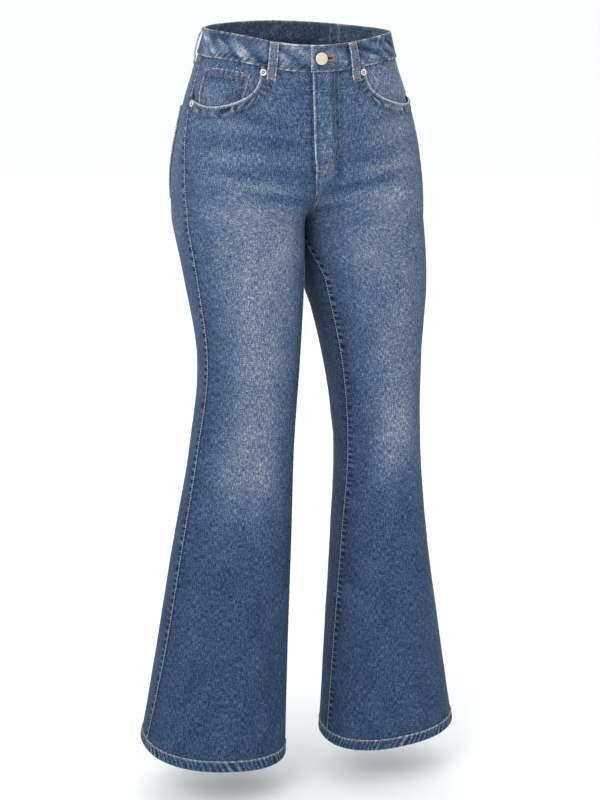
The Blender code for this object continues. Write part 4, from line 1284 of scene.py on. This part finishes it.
def makeWaistband():
    under, over, holeFar, holeNear = bandThetas("underX", "overX", "holeTo", "holeFrom")
    full = 2.0 * np.pi
    edgeSteps = np.array((0.0, 0.0015, 0.004, 0.008, 0.014, 0.022, 0.034))
    start = under - edgeSteps
    roundIt = np.linspace(start[-1], -full + holeFar, 400)[1:-1]
    hole = -full + np.linspace(holeFar, holeNear, 14)
    end = -full + over + edgeSteps[::-1]
    gap = np.linspace(hole[-1], end[0], 6)[1:-1]
    theta = np.concatenate([start, roundIt, hole, gap, end])
    inset = np.array((0.0, 0.0002, 0.0005, 0.0009, 0.0014, 0.0021, 0.0030, 0.0042))
    upper = np.linspace(-inset[-1], band["holeLevel"] + band["holeHalf"], 6)[1:]
    lower = np.linspace(band["holeLevel"] - band["holeHalf"], -band["height"] + inset[-1], 7)[:-1]
    level = np.concatenate([-inset, upper, lower, -band["height"] + inset[::-1]])
    rows, columns = spread(level[:, None], theta)
    rise, tone, edge, fromEnd = bandLook(columns, rows)
    startAway = (under - columns) * band["endRadius"]
    away = np.minimum(np.minimum(edge, fromEnd), startAway)
    swell = band["thickness"] / 2.0 * roundOff(away, band["round"])
    middle, normal = waistPoint(columns, rows, bandLap(theta)[None, :])
    outer = middle + normal * (swell + rise)[..., None]
    inner = middle - normal * (swell - rise)[..., None]
    row = len(inset) + len(upper) - 1
    column = len(start) + len(roundIt)
    clothPiece("waistband_cloth", "waistband", outer, inner, tone, finishes=(denim, shadedDenimInside),
               insideTone=bandInside(columns, rows), hole=(row, row + 1, column, column + len(hole) - 1))


loops = {
    "width": 0.012,
    "thickness": 0.0018,
    "stand": 0.0020,
    "gap": 0.0005,
    "profileLevels": (-0.001, -0.006, -0.012, -0.021, -0.030, -0.037, -0.043, -0.0515),
    "profileStands": (0.0, 0.1, 1.0, 1.2, 1.1, 0.9, 0.2, 0.0),
    "round": 0.0008,
    "tone": 0.610,
    "ropeTone": 0.110,
    "ropeRise": 0.00012,
    "groove": (0.0, 0.0012, -0.00022),
    "unevenTone": 0.05,
    "sideBells": ((0.0, 0.0012, 0.28), (0.0028, 0.0010, -0.045)),
    "endBell": (0.0, 0.0013, 0.20),
}


def loopBase(level):  # how far the loop's underside stands off the form
    levels = np.array(loops["profileLevels"])[::-1]
    stands = np.array(loops["profileStands"])[::-1]
    bandOut = band["thickness"] / 2.0 + cloth["layGap"]
    step = smoothStep((level + band["height"] + 0.007) / 0.006)
    base = loops["gap"] + (bandOut - loops["gap"]) * step
    return base + np.interp(level, levels, stands) * loops["stand"]


def loopTheta(angleTop, angleLow, level, aside):
    theta = np.radians(angleTop + (angleLow - angleTop) * level / loops["profileLevels"][-1])
    middle = waistPoint(theta, level, 0.0)[0]
    beside = waistPoint(theta + 0.01, level, 0.0)[0]
    return theta + aside * 0.01 / np.linalg.norm(beside - middle, axis=-1)


def makeLoop(word, angleTop, angleLow, seed):
    half, thick = loops["width"] / 2.0, loops["thickness"] / 2.0
    edge = np.array((0.0, 0.0002, 0.0005, 0.0009, 0.0016))
    top, low = loops["profileLevels"][0], loops["profileLevels"][-1]
    aside, level = spread(insetLine(-half, half, edge, 9), insetLine(top, low, edge, 46)[:, None])
    theta = loopTheta(angleTop, angleLow, level, aside)
    fromSide = half - np.abs(aside)
    fromEnd = np.minimum(top - level, level - low)
    rope = puckers(-level, fromSide, 0.0060, 0.0035, seed)
    rise = loops["ropeRise"] * rope + sumBells(aside, (loops["groove"],))
    tone = loops["tone"] + loops["ropeTone"] * rope + sumBells(fromSide, loops["sideBells"])
    tone = tone + sumBells(fromEnd, (loops["endBell"],))
    tone = tone + loops["unevenTone"] * smoothNoise(-level + aside, 0.004, seed + 5)
    swell = thick * roundOff(np.minimum(fromSide, fromEnd), loops["round"])
    middle, normal = waistPoint(theta, level, loopBase(level) + thick)
    outer = middle + normal * (swell + rise)[..., None]
    inner = middle - normal * swell[..., None]
    clothPiece(f"belt_loop_cloth_{word}", f"belt_loop_{word}", outer, inner, tone, rests=("waistband",),
               finishes=(denim, denim))


# Hems

hem = {
    "out": 0.0009,  # tones and rises are over the plain cloth
    "thickness": 0.0030,
    "rowUp": 0.0135,
    "round": 0.0014,
    "radius": 0.098,
    "spacing": 0.0076,
    "slant": 0.45,
    "leanRise": 0.00042,
    "tone": 0.400,
    "leanTone": 0.270,
    "peakTone": 0.07,
    "ropeTone": 0.05,
    "topBell": (0.0004, 0.0019),
    "topTones": (0.34, 0.10),
    "lowBell": (0.0, 0.0014, 0.22),
}


def hemLook(side, angle, level):
    run = angle * hem["radius"]
    fromTop, fromLow = hemTop - level, level - shape["hemEdge"]
    rope = puckers(run, 0.0 * run, hem["spacing"], 1.0, 900 + side)
    lean = puckers(run + hem["slant"] * fromLow, 0.0 * run, hem["spacing"], 1.0, 900 + side)
    inside = smoothStep(fromTop / 0.0035) * smoothStep(fromLow / 0.0022)
    plainTop, ropeTop = hem["topTones"]
    tone = hem["tone"] + hem["leanTone"] * lean * inside + hem["ropeTone"] * rope
    tone = tone + (plainTop + ropeTop * rope) * bell(fromTop, *hem["topBell"])
    tone = tone + sumBells(fromLow, (hem["lowBell"],))
    tone = tone + hem["peakTone"] * np.clip(lean, 0.0, 1.0) ** 4 * inside
    return hem["leanRise"] * lean * inside, tone, np.minimum(fromTop, fromLow)


def makeHem(word, side):
    edge = np.array((0.0, 0.0002, 0.0006, 0.0011, 0.0018))
    level = insetLine(hemTop, shape["hemEdge"], edge, 9)[:, None]
    angle, level = spread(np.linspace(0.0, 2.0 * np.pi, 421), level)
    rise, tone, away = hemLook(side, angle, level)
    half = hem["thickness"] / 2.0
    point, normal = formPoint(side, 1, angle, level)
    swell = half * roundOff(away, hem["round"])
    middle = hem["out"] - half
    outer = point + normal * (middle + swell + rise)[..., None]
    inner = point + normal * (middle - swell + 0.5 * rise)[..., None]
    outer[:, -1] = outer[:, 0]
    inner[:, -1] = inner[:, 0]
    clothPiece(f"hem_cloth_{word}", f"hem_{word}", outer, inner, tone, middle=0, closed=True,
               finishes=(denim, shadedDenimInside))


for sideWord, sideSign in (("right", -1), ("left", 1)):
    makeFront(sideWord, sideSign)
    makeBack(sideWord, sideSign)
    makeYoke(sideWord, sideSign)
    makeFacing(sideWord, sideSign)
    makeBackPocket(sideWord, sideSign)
    makeHem(sideWord, sideSign)
makeCoinPocket()
makeWaistband()
for loopIndex, loopRow in enumerate(loopPlaces):
    makeLoop(*loopRow, 950 + 7 * loopIndex)
print("cloth made")


# Fly shield and zip, behind the fly

zipSizes = {
    "out": -0.0017,
    "thickness": 0.0008,
    "from": -0.008,
    "to": 0.018,
    "end": -0.160,
    "chainX": 0.0087,
    "pitch": 0.0016,
    "tooth": (0.0032, 0.0011, 0.0010),
    "toothAside": 0.0011,
    "toothOut": 0.0006,
    "sliderDrop": 0.0065,
    "sliderOut": -0.0012,
}
sliderBoxes = (  # size, lift and drop
    ((0.0085, 0.0090, 0.0010), 0.0, 0.0),
    ((0.0085, 0.0090, 0.0009), 0.0024, 0.0),
    ((0.0022, 0.0080, 0.0020), 0.0012, 0.0),
    ((0.0050, 0.0150, 0.0009), -0.0013, -0.0085),
)
shield = {"out": -0.0031, "from": -0.016, "to": 0.036, "end": -0.172}
bandLow = -(band["height"] + 2.0 * cloth["seamGap"])


def behindFly(name, node, place, thick, columns, rows, finishes):
    level = np.linspace(bandLow, place["end"], rows)[:, None]
    theta = thetaAtX(np.linspace(place["from"], place["to"], columns), level)
    outer, normal = waistPoint(theta, level, place["out"])
    return clothPiece(name, node, outer, outer - normal * thick, 0.5, finishes=finishes)


behindFly("fly_shield_cloth", "fly_shield", shield, cloth["thickness"], 28, 60, (denim, denimInside))
zipPiece = behindFly("zip_tape_cloth", "zip", zipSizes, zipSizes["thickness"], 16, 50, (zipTape, zipTape))


def repeated(name, template, centres, axes, scales, finish):  # copies of one small mesh, joined
    base = np.array([v.co for v in template.verts])
    faces = [[v.index for v in f.verts] for f in template.faces]
    points = centres[:, None, :] + np.einsum("vk,nkc->nvc", base, axes * scales[:, :, None])
    allFaces = [[i + k * len(base) for i in face] for k in range(len(centres)) for face in faces]
    mesh = bpy.data.meshes.new(name)
    mesh.from_pydata(points.reshape(-1, 3), [], allFaces)
    mesh.shade_smooth()
    made = objectOf(mesh, (finish,))
    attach(made, "root")
    return made


def bevelAll(bm, offset, segments):
    look = {"offset": offset, "segments": segments, "profile": 0.5, "material": -1}
    bmesh.ops.bevel(bm, geom=bm.edges[:], affect="EDGES", **look)


def standOn(bm, point, normal):  # from upright at the origin to a place on the form
    turn = Vector(normal).to_track_quat("Z", "Y").to_matrix().to_4x4()
    bmesh.ops.transform(bm, matrix=Matrix.Translation(Vector(point)) @ turn, verts=bm.verts)


def makeTeeth():
    levels = np.arange(bandLow - 0.012, zipSizes["end"] + 0.003, -zipSizes["pitch"] / 2.0)
    side = np.where(np.arange(len(levels)) % 2 == 0, 1.0, -1.0)
    theta = thetaAtX(zipSizes["chainX"] + side * zipSizes["toothAside"], levels)
    out = zipSizes["out"] + zipSizes["toothOut"]
    point, normal = waistPoint(theta, levels, out)
    up = waistPoint(theta, levels + 0.002, out)[0] - point
    up = up / np.linalg.norm(up, axis=-1, keepdims=True)
    bm = bmesh.new()
    bmesh.ops.create_cube(bm, size=1.0)
    bevelAll(bm, 0.12, 1)
    bm.verts.index_update()
    scales = np.repeat(np.array([zipSizes["tooth"]]), len(levels), 0)
    axes = np.stack([np.cross(up, normal), up, normal], 1)
    teeth = repeated("zip_teeth", bm, point, axes, scales, zipMetal)
    bm.free()


def makeSlider():
    level = np.array([bandLow - zipSizes["sliderDrop"]])
    theta = thetaAtX(np.array([zipSizes["chainX"]]), level)
    point, normal = waistPoint(theta, level, zipSizes["out"] + zipSizes["sliderOut"])
    bm = bmesh.new()
    for size, lift, drop in sliderBoxes:
        box = bmesh.ops.create_cube(bm, size=1.0)["verts"]
        bmesh.ops.scale(bm, vec=size, verts=box)
        bmesh.ops.translate(bm, vec=(0.0, drop, lift), verts=box)
    bevelAll(bm, 0.0003, 2)
    standOn(bm, point[0], normal[0])
    slider = objectOf(meshOf("zip_slider", bm), (zipMetal,))
    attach(slider, "root")


makeTeeth()
makeSlider()
print("fly made")


# Sewing: rows of stitches that lie on the cloth, gathered by thread

stitch = {
    "pitch": 0.0039,
    "length": 0.0032,
    "width": 0.00115,
    "height": 0.0007,
    "lift": 0.20,
    "askew": 0.06,
    "uneven": 0.05,
}
tack = {"lean": 0.10, "lift": 0.0003, "overlap": 0.62, "height": 0.00042}
creamLook = {"width": 0.75, "lengthwise": 0.72}
twinRows = (0.0022, 0.0082)  # insets of the rows on the back
sewing = {key: [] for key in threads}


def pick(values, run, where):
    return np.stack([np.interp(where, run, values[:, k]) for k in range(3)], -1)


def unit(vectors):
    return vectors / np.linalg.norm(vectors, axis=-1, keepdims=True)


def onPanel(side, face, across, level, more=0.0):  # a place on a front or back, with its relief
    across, level = spread(across, level)
    first, last = frontAngles(side, level) if face > 0 else seamAngles(side, face, level)
    angle = first + (last - first) * across
    rise = panelLook(side, face, angle, level)[0]
    point, normal = formPoint(side, face, angle, level)
    return partPoints(side, face, point + normal * (rise + more)[..., None]), normal


def sewRow(thread, points, normals, seed, width=1.0, lengthwise=1.0):
    run = np.concatenate([[0.0], np.cumsum(np.linalg.norm(np.diff(points, axis=0), axis=-1))])
    count = max(int(run[-1] / stitch["pitch"]), 1)
    at = (np.arange(count) + 0.5) * run[-1] / count
    step = stitch["length"] / 2.0
    ahead, behind = np.minimum(at + step, run[-1]), np.maximum(at - step, 0.0)
    along = unit(pick(points, run, ahead) - pick(points, run, behind))
    beside = unit(np.cross(pick(normals, run, at), along))
    normal = np.cross(along, beside)
    draw = np.random.default_rng(seed)
    beside = beside + along * draw.normal(0.0, stitch["askew"], (count, 1))
    size = np.array([stitch["length"] * lengthwise, stitch["width"] * width, stitch["height"]]) / 2.0
    scales = size * (1.0 + draw.normal(0.0, stitch["uneven"], (count, 3)))
    centre = pick(points, run, at) + normal * stitch["height"] * stitch["lift"]
    sewing[thread].append((centre, np.stack([along, beside, normal], 1), scales))


def barTack(centre, normal, along, length, wide, count):  # close zigzag threads across a short bar
    normal = unit(normal)
    along = unit(along - normal * np.dot(along, normal))
    at = np.linspace(-0.5, 0.5, count) * length
    lean = np.where(np.arange(count) % 2 == 0, 1.0, -1.0) * tack["lean"]
    way = unit(np.cross(normal, along) + along * lean[:, None])
    centres = centre + along * at[:, None] + normal * tack["lift"]
    axes = np.stack([way, np.cross(normal, way), np.repeat(normal[None], count, 0)], 1)
    size = np.array([[wide / 2.0, length / count * tack["overlap"], tack["height"]]])
    sewing["gold"].append((centres, axes, np.repeat(size, count, 0)))


def tackOver(points, normals, length, wide, count, at=None):  # along a few points, at one of them or halfway
    centre = (points[0] + points[-1]) / 2.0 if at is None else points[at]
    barTack(centre, normals[at or 0], points[-1] - points[0], length, wide, count)


def sewOpening(side):
    edgeAcross, edgeLevel, _ = frontEdge(side)
    wide = panelWidth(side, 1, opening["widthLevel"])
    along = np.gradient(edgeAcross * wide)
    up = np.gradient(edgeLevel)
    size = np.hypot(along, up)
    for number, inset in enumerate(opening["rows"]):
        across = edgeAcross + up / size * inset / wide
        level = edgeLevel - along / size * inset
        keep = (level < -(band["height"] + 0.001)) & (across > 0.004)
        sewRow("brown", *onPanel(side, 1, across[keep], level[keep]), 20 + number)


def frontShare(x, level):  # how far across the wearer's left front a distance from the centre lies
    first, last = frontAngles(1, level)
    return (angleAtX(1, 1, x, level) - first) / (last - first)


def sewFly():
    for number, (x, low) in enumerate(zip(fly["stitchX"], fly["bendTo"])):
        straight = np.linspace(-(band["height"] + 0.001), fly["bendFrom"], 60)
        turn = np.linspace(0.0, np.pi / 2.0, 40)[1:]
        level = np.concatenate([straight, fly["bendFrom"] + (low - fly["bendFrom"]) * np.sin(turn)])
        xs = np.concatenate([np.full(60, x), 0.0005 + (x - 0.0005) * np.cos(turn)])
        sewRow("brown", *onPanel(1, 1, frontShare(xs, level), level), 30 + number)
    level = np.full(3, fly["tackLevel"])
    across = frontShare(np.array((0.001, 0.0038, 0.0066)), level)
    tackOver(*onPanel(1, 1, across, level), 0.0078, 0.0019, 20, 1)
    level = np.linspace(-0.205, shape["crotch"] - 0.002, 40)
    wide = panelWidth(1, 1, level)
    for number, inset in enumerate((0.0016, 0.0068)):
        sewRow("tan", *onPanel(1, 1, 1.0 - inset / wide, level), 33 + number, 0.85)
    tackOver(*onPanel(1, 1, 1.0 - 0.0022 / 0.2, np.array((-0.212, -0.216))), 0.0050, 0.0014, 10, 0)


def sewLegs(side):
    level = np.linspace(-0.105, hemTop, 700)
    sewRow("cream", *onPanel(side, -1, 0.0016 / panelWidth(side, -1, level), level), 40 + side, **creamLook)
    level = np.linspace(shape["crotch"] - 0.002, hemTop, 640)
    across = 1.0 - 0.0012 / panelWidth(side, 1, level)
    sewRow("cream", *onPanel(side, 1, across, level), 44 + side, **creamLook)
    level = np.linspace(-0.040, -0.090, 60)  # the outseam above the pocket, on the back
    sewRow("cream", *onPanel(side, -1, 0.0016 / panelWidth(side, -1, level), level), 47 + side, **creamLook)
    tackOver(*onPanel(side, 1, 0.006, np.array((-0.236, -0.242))), 0.0070, 0.0018, 12, 0)


def sewBack(side):
    across = np.linspace(0.008, 0.992, 300)
    for number, inset in enumerate(yoke["rows"]):
        sewRow("brown", *onPanel(side, -1, across, yokeLevel(across) + inset, yoke["feltRise"]), 50 + number)
    level = np.linspace(-0.040, shape["crotch"], 240)
    above = 0.0001 * (level > yokeLevel(1.0))
    for number, inset in enumerate(twinRows):
        across = 1.0 - inset / panelWidth(side, -1, level)
        if side > 0:
            sewRow("brown", *onPanel(side, -1, across, level, above), 54 + number)
    for number, inset in enumerate(twinRows):
        sewPocketEdge(side, inset, 60 + number)
    wide = np.linspace(-1.0 + 0.004 / 0.07, 1.0 - 0.004 / 0.07, 160)
    for number, inset in enumerate((0.0030, 0.0125)):
        sewRow("brown", *onPocket(side, wide, inset / 0.150), 64 + number)
    for at in (-0.935, 0.935):
        tackOver(*onPocket(side, at, np.array((0.012, 0.060))), 0.0095, 0.0021, 20)


def onPocket(side, wide, down):
    angle, level, rise, _, _ = pocketLook(side, *spread(wide, down))
    point, normal = formPoint(side, -1, angle, level)
    return partPoints(side, -1, point + normal * rise[..., None]), normal


def sewPocketEdge(side, inset, seed):  # down one side, along the blunt point and up the other
    edge, lowEdge, downTo = (1.0 - inset / size for size in (0.0675, 0.0620, 0.138))
    wide = np.concatenate([np.linspace(-edge, -lowEdge, 100), np.linspace(-lowEdge, 0.0, 60)])
    down = np.concatenate([np.linspace(0.012, downTo, 100), np.full(60, downTo)])
    wide, down = np.concatenate([wide, -wide[::-1]]), np.concatenate([down, down[::-1]])
    sewRow("brown", *onPocket(side, wide, down), seed)


def onCoin(across, down):
    angle, level = coinPlace(across, down)
    point, normal = formPoint(-1, 1, angle, level)
    return partPoints(-1, 1, point + normal * coinOut(angle, level)[..., None]), normal


def sewCoin():
    for number, down in enumerate((0.035, 0.135)):
        sewRow("brown", *onCoin(np.linspace(0.04, 0.96, 60), down), 70 + number)
    for number, across in enumerate((0.045, 0.190, 0.810, 0.955)):
        sewRow("brown", *onCoin(across, np.linspace(0.03, 0.99, 60)), 72 + number)
    for across in (0.10, 0.90):
        tackOver(*onCoin(np.array((across - 0.07, across + 0.07)), 0.045), 0.0060, 0.0018, 12)


def onBand(theta, level, way=1.0):  # way is -1 inside
    theta, level = spread(theta, level)
    out = bandLap(theta) + way * band["thickness"] / 2.0 + bandLook(theta, level)[0]
    point, normal = waistPoint(theta, level, out)
    return point, way * normal


def sewBand():
    full = 2.0 * np.pi
    under, over, holeFar, holeNear = bandThetas("underX", "overX", "holeTo", "holeFrom")
    inset = band["stitchIn"]
    theta = np.linspace(under - 0.02, over - full + 0.03, 1600)
    for number, level in enumerate((-inset, -band["height"] + inset)):
        sewRow("brown", *onBand(theta, level), 80 + number)
        sewRow("brown", *onBand(theta, level, -1.0), 82 + number)
    level = np.linspace(-inset, -band["height"] + inset, 40)
    sewRow("brown", *onBand(over - full + 0.032, level), 84)
    theta = np.linspace(holeFar - full, holeNear - full, 60)
    edge = band["holeHalf"] + 0.0009  # thread round the buttonhole
    for sign in (-1.0, 1.0):
        points, normals = onBand(theta, band["holeLevel"] + sign * edge)
        for k in range(34):
            i = int(k * 59 / 33)
            up = onBand(theta[i], band["holeLevel"] + sign * (edge + 0.001))[0] - points[i]
            barTack(points[i], normals[i], np.cross(up, normals[i]), 0.0006, 0.0023, 1)
    tackOver(*onBand(theta[0] - 0.012, band["holeLevel"] + np.array((-0.0015, 0.0015))), 0.0050, 0.0022, 10)


def onLoop(angleTop, angleLow, aside, level):
    aside, level = spread(aside, level)
    theta = loopTheta(angleTop, angleLow, level, aside)
    return waistPoint(theta, level, loopBase(level) + loops["thickness"])


def sewLoops():
    fromMiddle = loops["width"] / 2.0 - 0.0022
    top, low = loops["profileLevels"][0], loops["profileLevels"][-1]
    level = np.linspace(top - 0.003, low + 0.003, 60)
    for index, (_, *angles) in enumerate(loopPlaces):
        for number, aside in enumerate((-fromMiddle, fromMiddle)):
            sewRow("brown", *onLoop(*angles, aside, level), 90 + 2 * index + number, 0.9)
        for end in (top - 0.0028, low + 0.0026):
            tackOver(*onLoop(*angles, np.array((-0.0047, 0.0, 0.0047)), end), 0.0098, 0.0019, 20, 1)


def sewHem(side):
    angle, level = spread(np.linspace(0.0, 2.0 * np.pi, 900), shape["hemEdge"] + hem["rowUp"])
    point, normal = formPoint(side, 1, angle, level)
    rise = hemLook(side, angle, level)[0]
    sewRow("brown", point + normal * (hem["out"] + rise)[:, None], normal, 97 + side)


def makeSewing():
    bm = bmesh.new()
    bmesh.ops.create_uvsphere(bm, u_segments=6, v_segments=4, radius=1.0)
    for vertex in bm.verts:
        if 0.1 < abs(vertex.co.z) < 0.9:
            vertex.co.z *= 1.22
    bmesh.ops.rotate(bm, cent=(0.0, 0.0, 0.0), matrix=Matrix.Rotation(np.pi / 2.0, 3, "Y"), verts=bm.verts)
    bm.verts.index_update()
    for key, rows in sewing.items():
        centres, axes, scales = (np.concatenate([row[k] for row in rows]) for k in range(3))
        repeated(f"sewing_{key}", bm, centres, axes, scales, threads[key])
        print("stitches", key, len(centres))
    bm.free()


for sideSign in (-1, 1):
    sewOpening(sideSign)
    sewLegs(sideSign)
    sewBack(sideSign)
    sewHem(sideSign)
sewFly()
sewCoin()
sewBand()
sewLoops()
makeSewing()
print("sewing made")


# Button and rivets: turned profiles of radius and height

button = {
    "x": 0.010,
    "profile": (
        (0.0, 0.0028), (0.0030, 0.00276), (0.0056, 0.00262), (0.0070, 0.00245), (0.0076, 0.00250),
        (0.0080, 0.00240), (0.0084, 0.00200), (0.0085, 0.00150), (0.0084, 0.00090), (0.0080, 0.00045),
        (0.0070, 0.00015), (0.0050, 0.0), (0.0015, 0.0),
    ),
    "shank": 0.0015,
}
rivet = {
    "radius": 0.0048,
    "height": 0.0016,
    "inside": -0.0025,
    "gap": 0.0005,
    "belowBand": 0.0075,
    "belowEdge": 0.0065,
    "across": 0.045,
    "groove": (0.24, 0.50),
    "profile": (
        (0.0, 1.22), (0.10, 1.20), (0.18, 1.10), (0.23, 0.90), (0.27, 0.62), (0.34, 0.52),
        (0.44, 0.56), (0.54, 0.74), (0.64, 0.93), (0.74, 1.0), (0.84, 0.95), (0.93, 0.76),
        (0.985, 0.45), (1.0, 0.18), (0.97, 0.02), (0.90, 0.0), (0.0, 0.0),
    ),
}


def turned(name, node, slotName, profile, point, normal, finish, steps, groove=None):
    bm = bmesh.new()
    line = [bm.verts.new((radius, 0.0, height)) for radius, height in profile]
    edges = [bm.edges.new(pair) for pair in zip(line[:-1], line[1:])]
    axis = {"cent": (0.0, 0.0, 0.0), "axis": (0.0, 0.0, 1.0)}
    bmesh.ops.spin(bm, geom=line + edges, angle=2.0 * np.pi, steps=steps, use_merge=True, **axis)
    bmesh.ops.remove_doubles(bm, verts=bm.verts, dist=1e-6)
    bmesh.ops.recalc_face_normals(bm, faces=bm.faces)
    # faces within the groove's radius range take the dark metal: painted shade
    for face in bm.faces:
        away = max(v.co.xy.length for v in face.verts)
        if groove and groove[0] < away < groove[1]:
            face.material_index = 1
    standOn(bm, point, normal)
    made = objectOf(meshOf(name, bm), (finish, grooveShadeMetal) if groove else (finish,))
    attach(made, "root")
    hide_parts(node)


def makeButton():
    level = np.array(band["holeLevel"])
    foot = band["underOut"] + band["thickness"] / 2.0 + cloth["layGap"]
    under = band["overOut"] + band["thickness"] / 2.0 + 2.0 * cloth["layGap"] - foot
    angle = angleAtX(1, 1, button["x"], level)
    point, normal = formPoint(1, 1, angle, level)
    profile = [(radius, under + height) for radius, height in button["profile"]]
    profile += [(button["shank"], 0.0), (0.0, 0.0)]
    turned("button_cap", "button", "button_metal", profile, point + normal * foot, normal, buttonMetal, 48)


def makeRivet(place, side, angle, level):
    point, normal = formPoint(side, 1, angle, level)
    rise = panelLook(side, 1, np.array([float(angle)]), np.array([float(level)]))[0][0]
    profile = [(radius * rivet["radius"], height * rivet["height"]) for radius, height in rivet["profile"]]
    out = max(rivet["gap"], rise + 0.0001)
    groove = [share * rivet["radius"] for share in rivet["groove"]]
    names = (f"rivet_cap_{place}", f"rivet_{place}", "rivet_metal")
    turned(*names, profile, point + normal * out, normal, rivetMetal, 32, groove)


makeButton()
for sideWord, sideSign in (("right", -1), ("left", 1)):
    innerLevel = -band["height"] - rivet["belowBand"]
    outerLevel = -band["height"] - opening["drop"] - rivet["belowEdge"]
    innerAngle = angleAtX(sideSign, 1, opening["x"] - rivet["radius"] - rivet["inside"], np.array(innerLevel))
    firstAngle, lastAngle = seamAngles(sideSign, 1, np.array(outerLevel))
    outerAngle = firstAngle + rivet["across"] * (lastAngle - firstAngle)
    makeRivet(f"{sideWord}_inner", sideSign, innerAngle, innerLevel)
    makeRivet(f"{sideWord}_outer", sideSign, outerAngle, outerLevel)
print("metal made")


# Stage: pale floor, soft light and the camera

stageLook = {
    "floorDrop": 0.055,
    "floorSize": 80.0,
    "floor": {"Base Color": (0.93, 0.93, 0.93, 1.0), "Roughness": 0.9, "Specular IOR Level": 0.1},
    "world": {"Color": (0.98, 0.99, 1.0, 1.0), "Strength": 1.07},
}
camera = {
    "place": (-1.038, -3.109, 0.286),
    "tilt": 76.16,
    "turn": -18.466,
    "lens": 107.12,
    "sensor": 36.0,
    "shift": 0.0021,
}
lamps = (
    ("keyLight", (-2.2, -2.4, 1.5), 1.8, 56.0),
    ("backLight", (0.9, 2.9, 1.6), 2.6, 16.0),
    ("topLight", (0.0, 0.0, 3.0), 2.4, 8.0),
)
aim = Vector((0.0, 0.0, -0.45))


def makeStage():
    bm = bmesh.new()
    bmesh.ops.create_grid(bm, x_segments=1, y_segments=1, size=stageLook["floorSize"] / 2.0)
    bmesh.ops.translate(bm, vec=(0.0, 0.0, cadLow.z - stageLook["floorDrop"]), verts=bm.verts)
    paint, _, _, shader = nodesOf("floorPaint")
    setInputs(shader, stageLook["floor"])
    objectOf(meshOf("floor", bm), (paint,))
    for name, place, size, power in lamps:
        light = bpy.data.lights.new(name, "AREA")
        light.size = size
        light.energy = power
        lamp = addObject(name, light)
        lamp.location = place
        lamp.rotation_euler = (aim - Vector(place)).to_track_quat("-Z", "Y").to_euler()
    world = bpy.data.worlds.new("studio")
    world.use_nodes = True
    setInputs(world.node_tree.nodes["Background"], stageLook["world"])
    bpy.context.scene.world = world
    bpy.context.scene.view_settings.view_transform = "Standard"


def makeCamera():
    data = bpy.data.cameras.new("camera")
    data.lens = camera["lens"]
    data.sensor_width = camera["sensor"]
    data.shift_x = camera["shift"]
    made = addObject("camera", data)
    made.location = camera["place"]
    made.rotation_euler = (np.radians(camera["tilt"]), 0.0, np.radians(camera["turn"]))
    bpy.context.scene.camera = made


makeStage()
makeCamera()
for name, across, down, area in sizes:
    print("cloth", name, across, down, area)
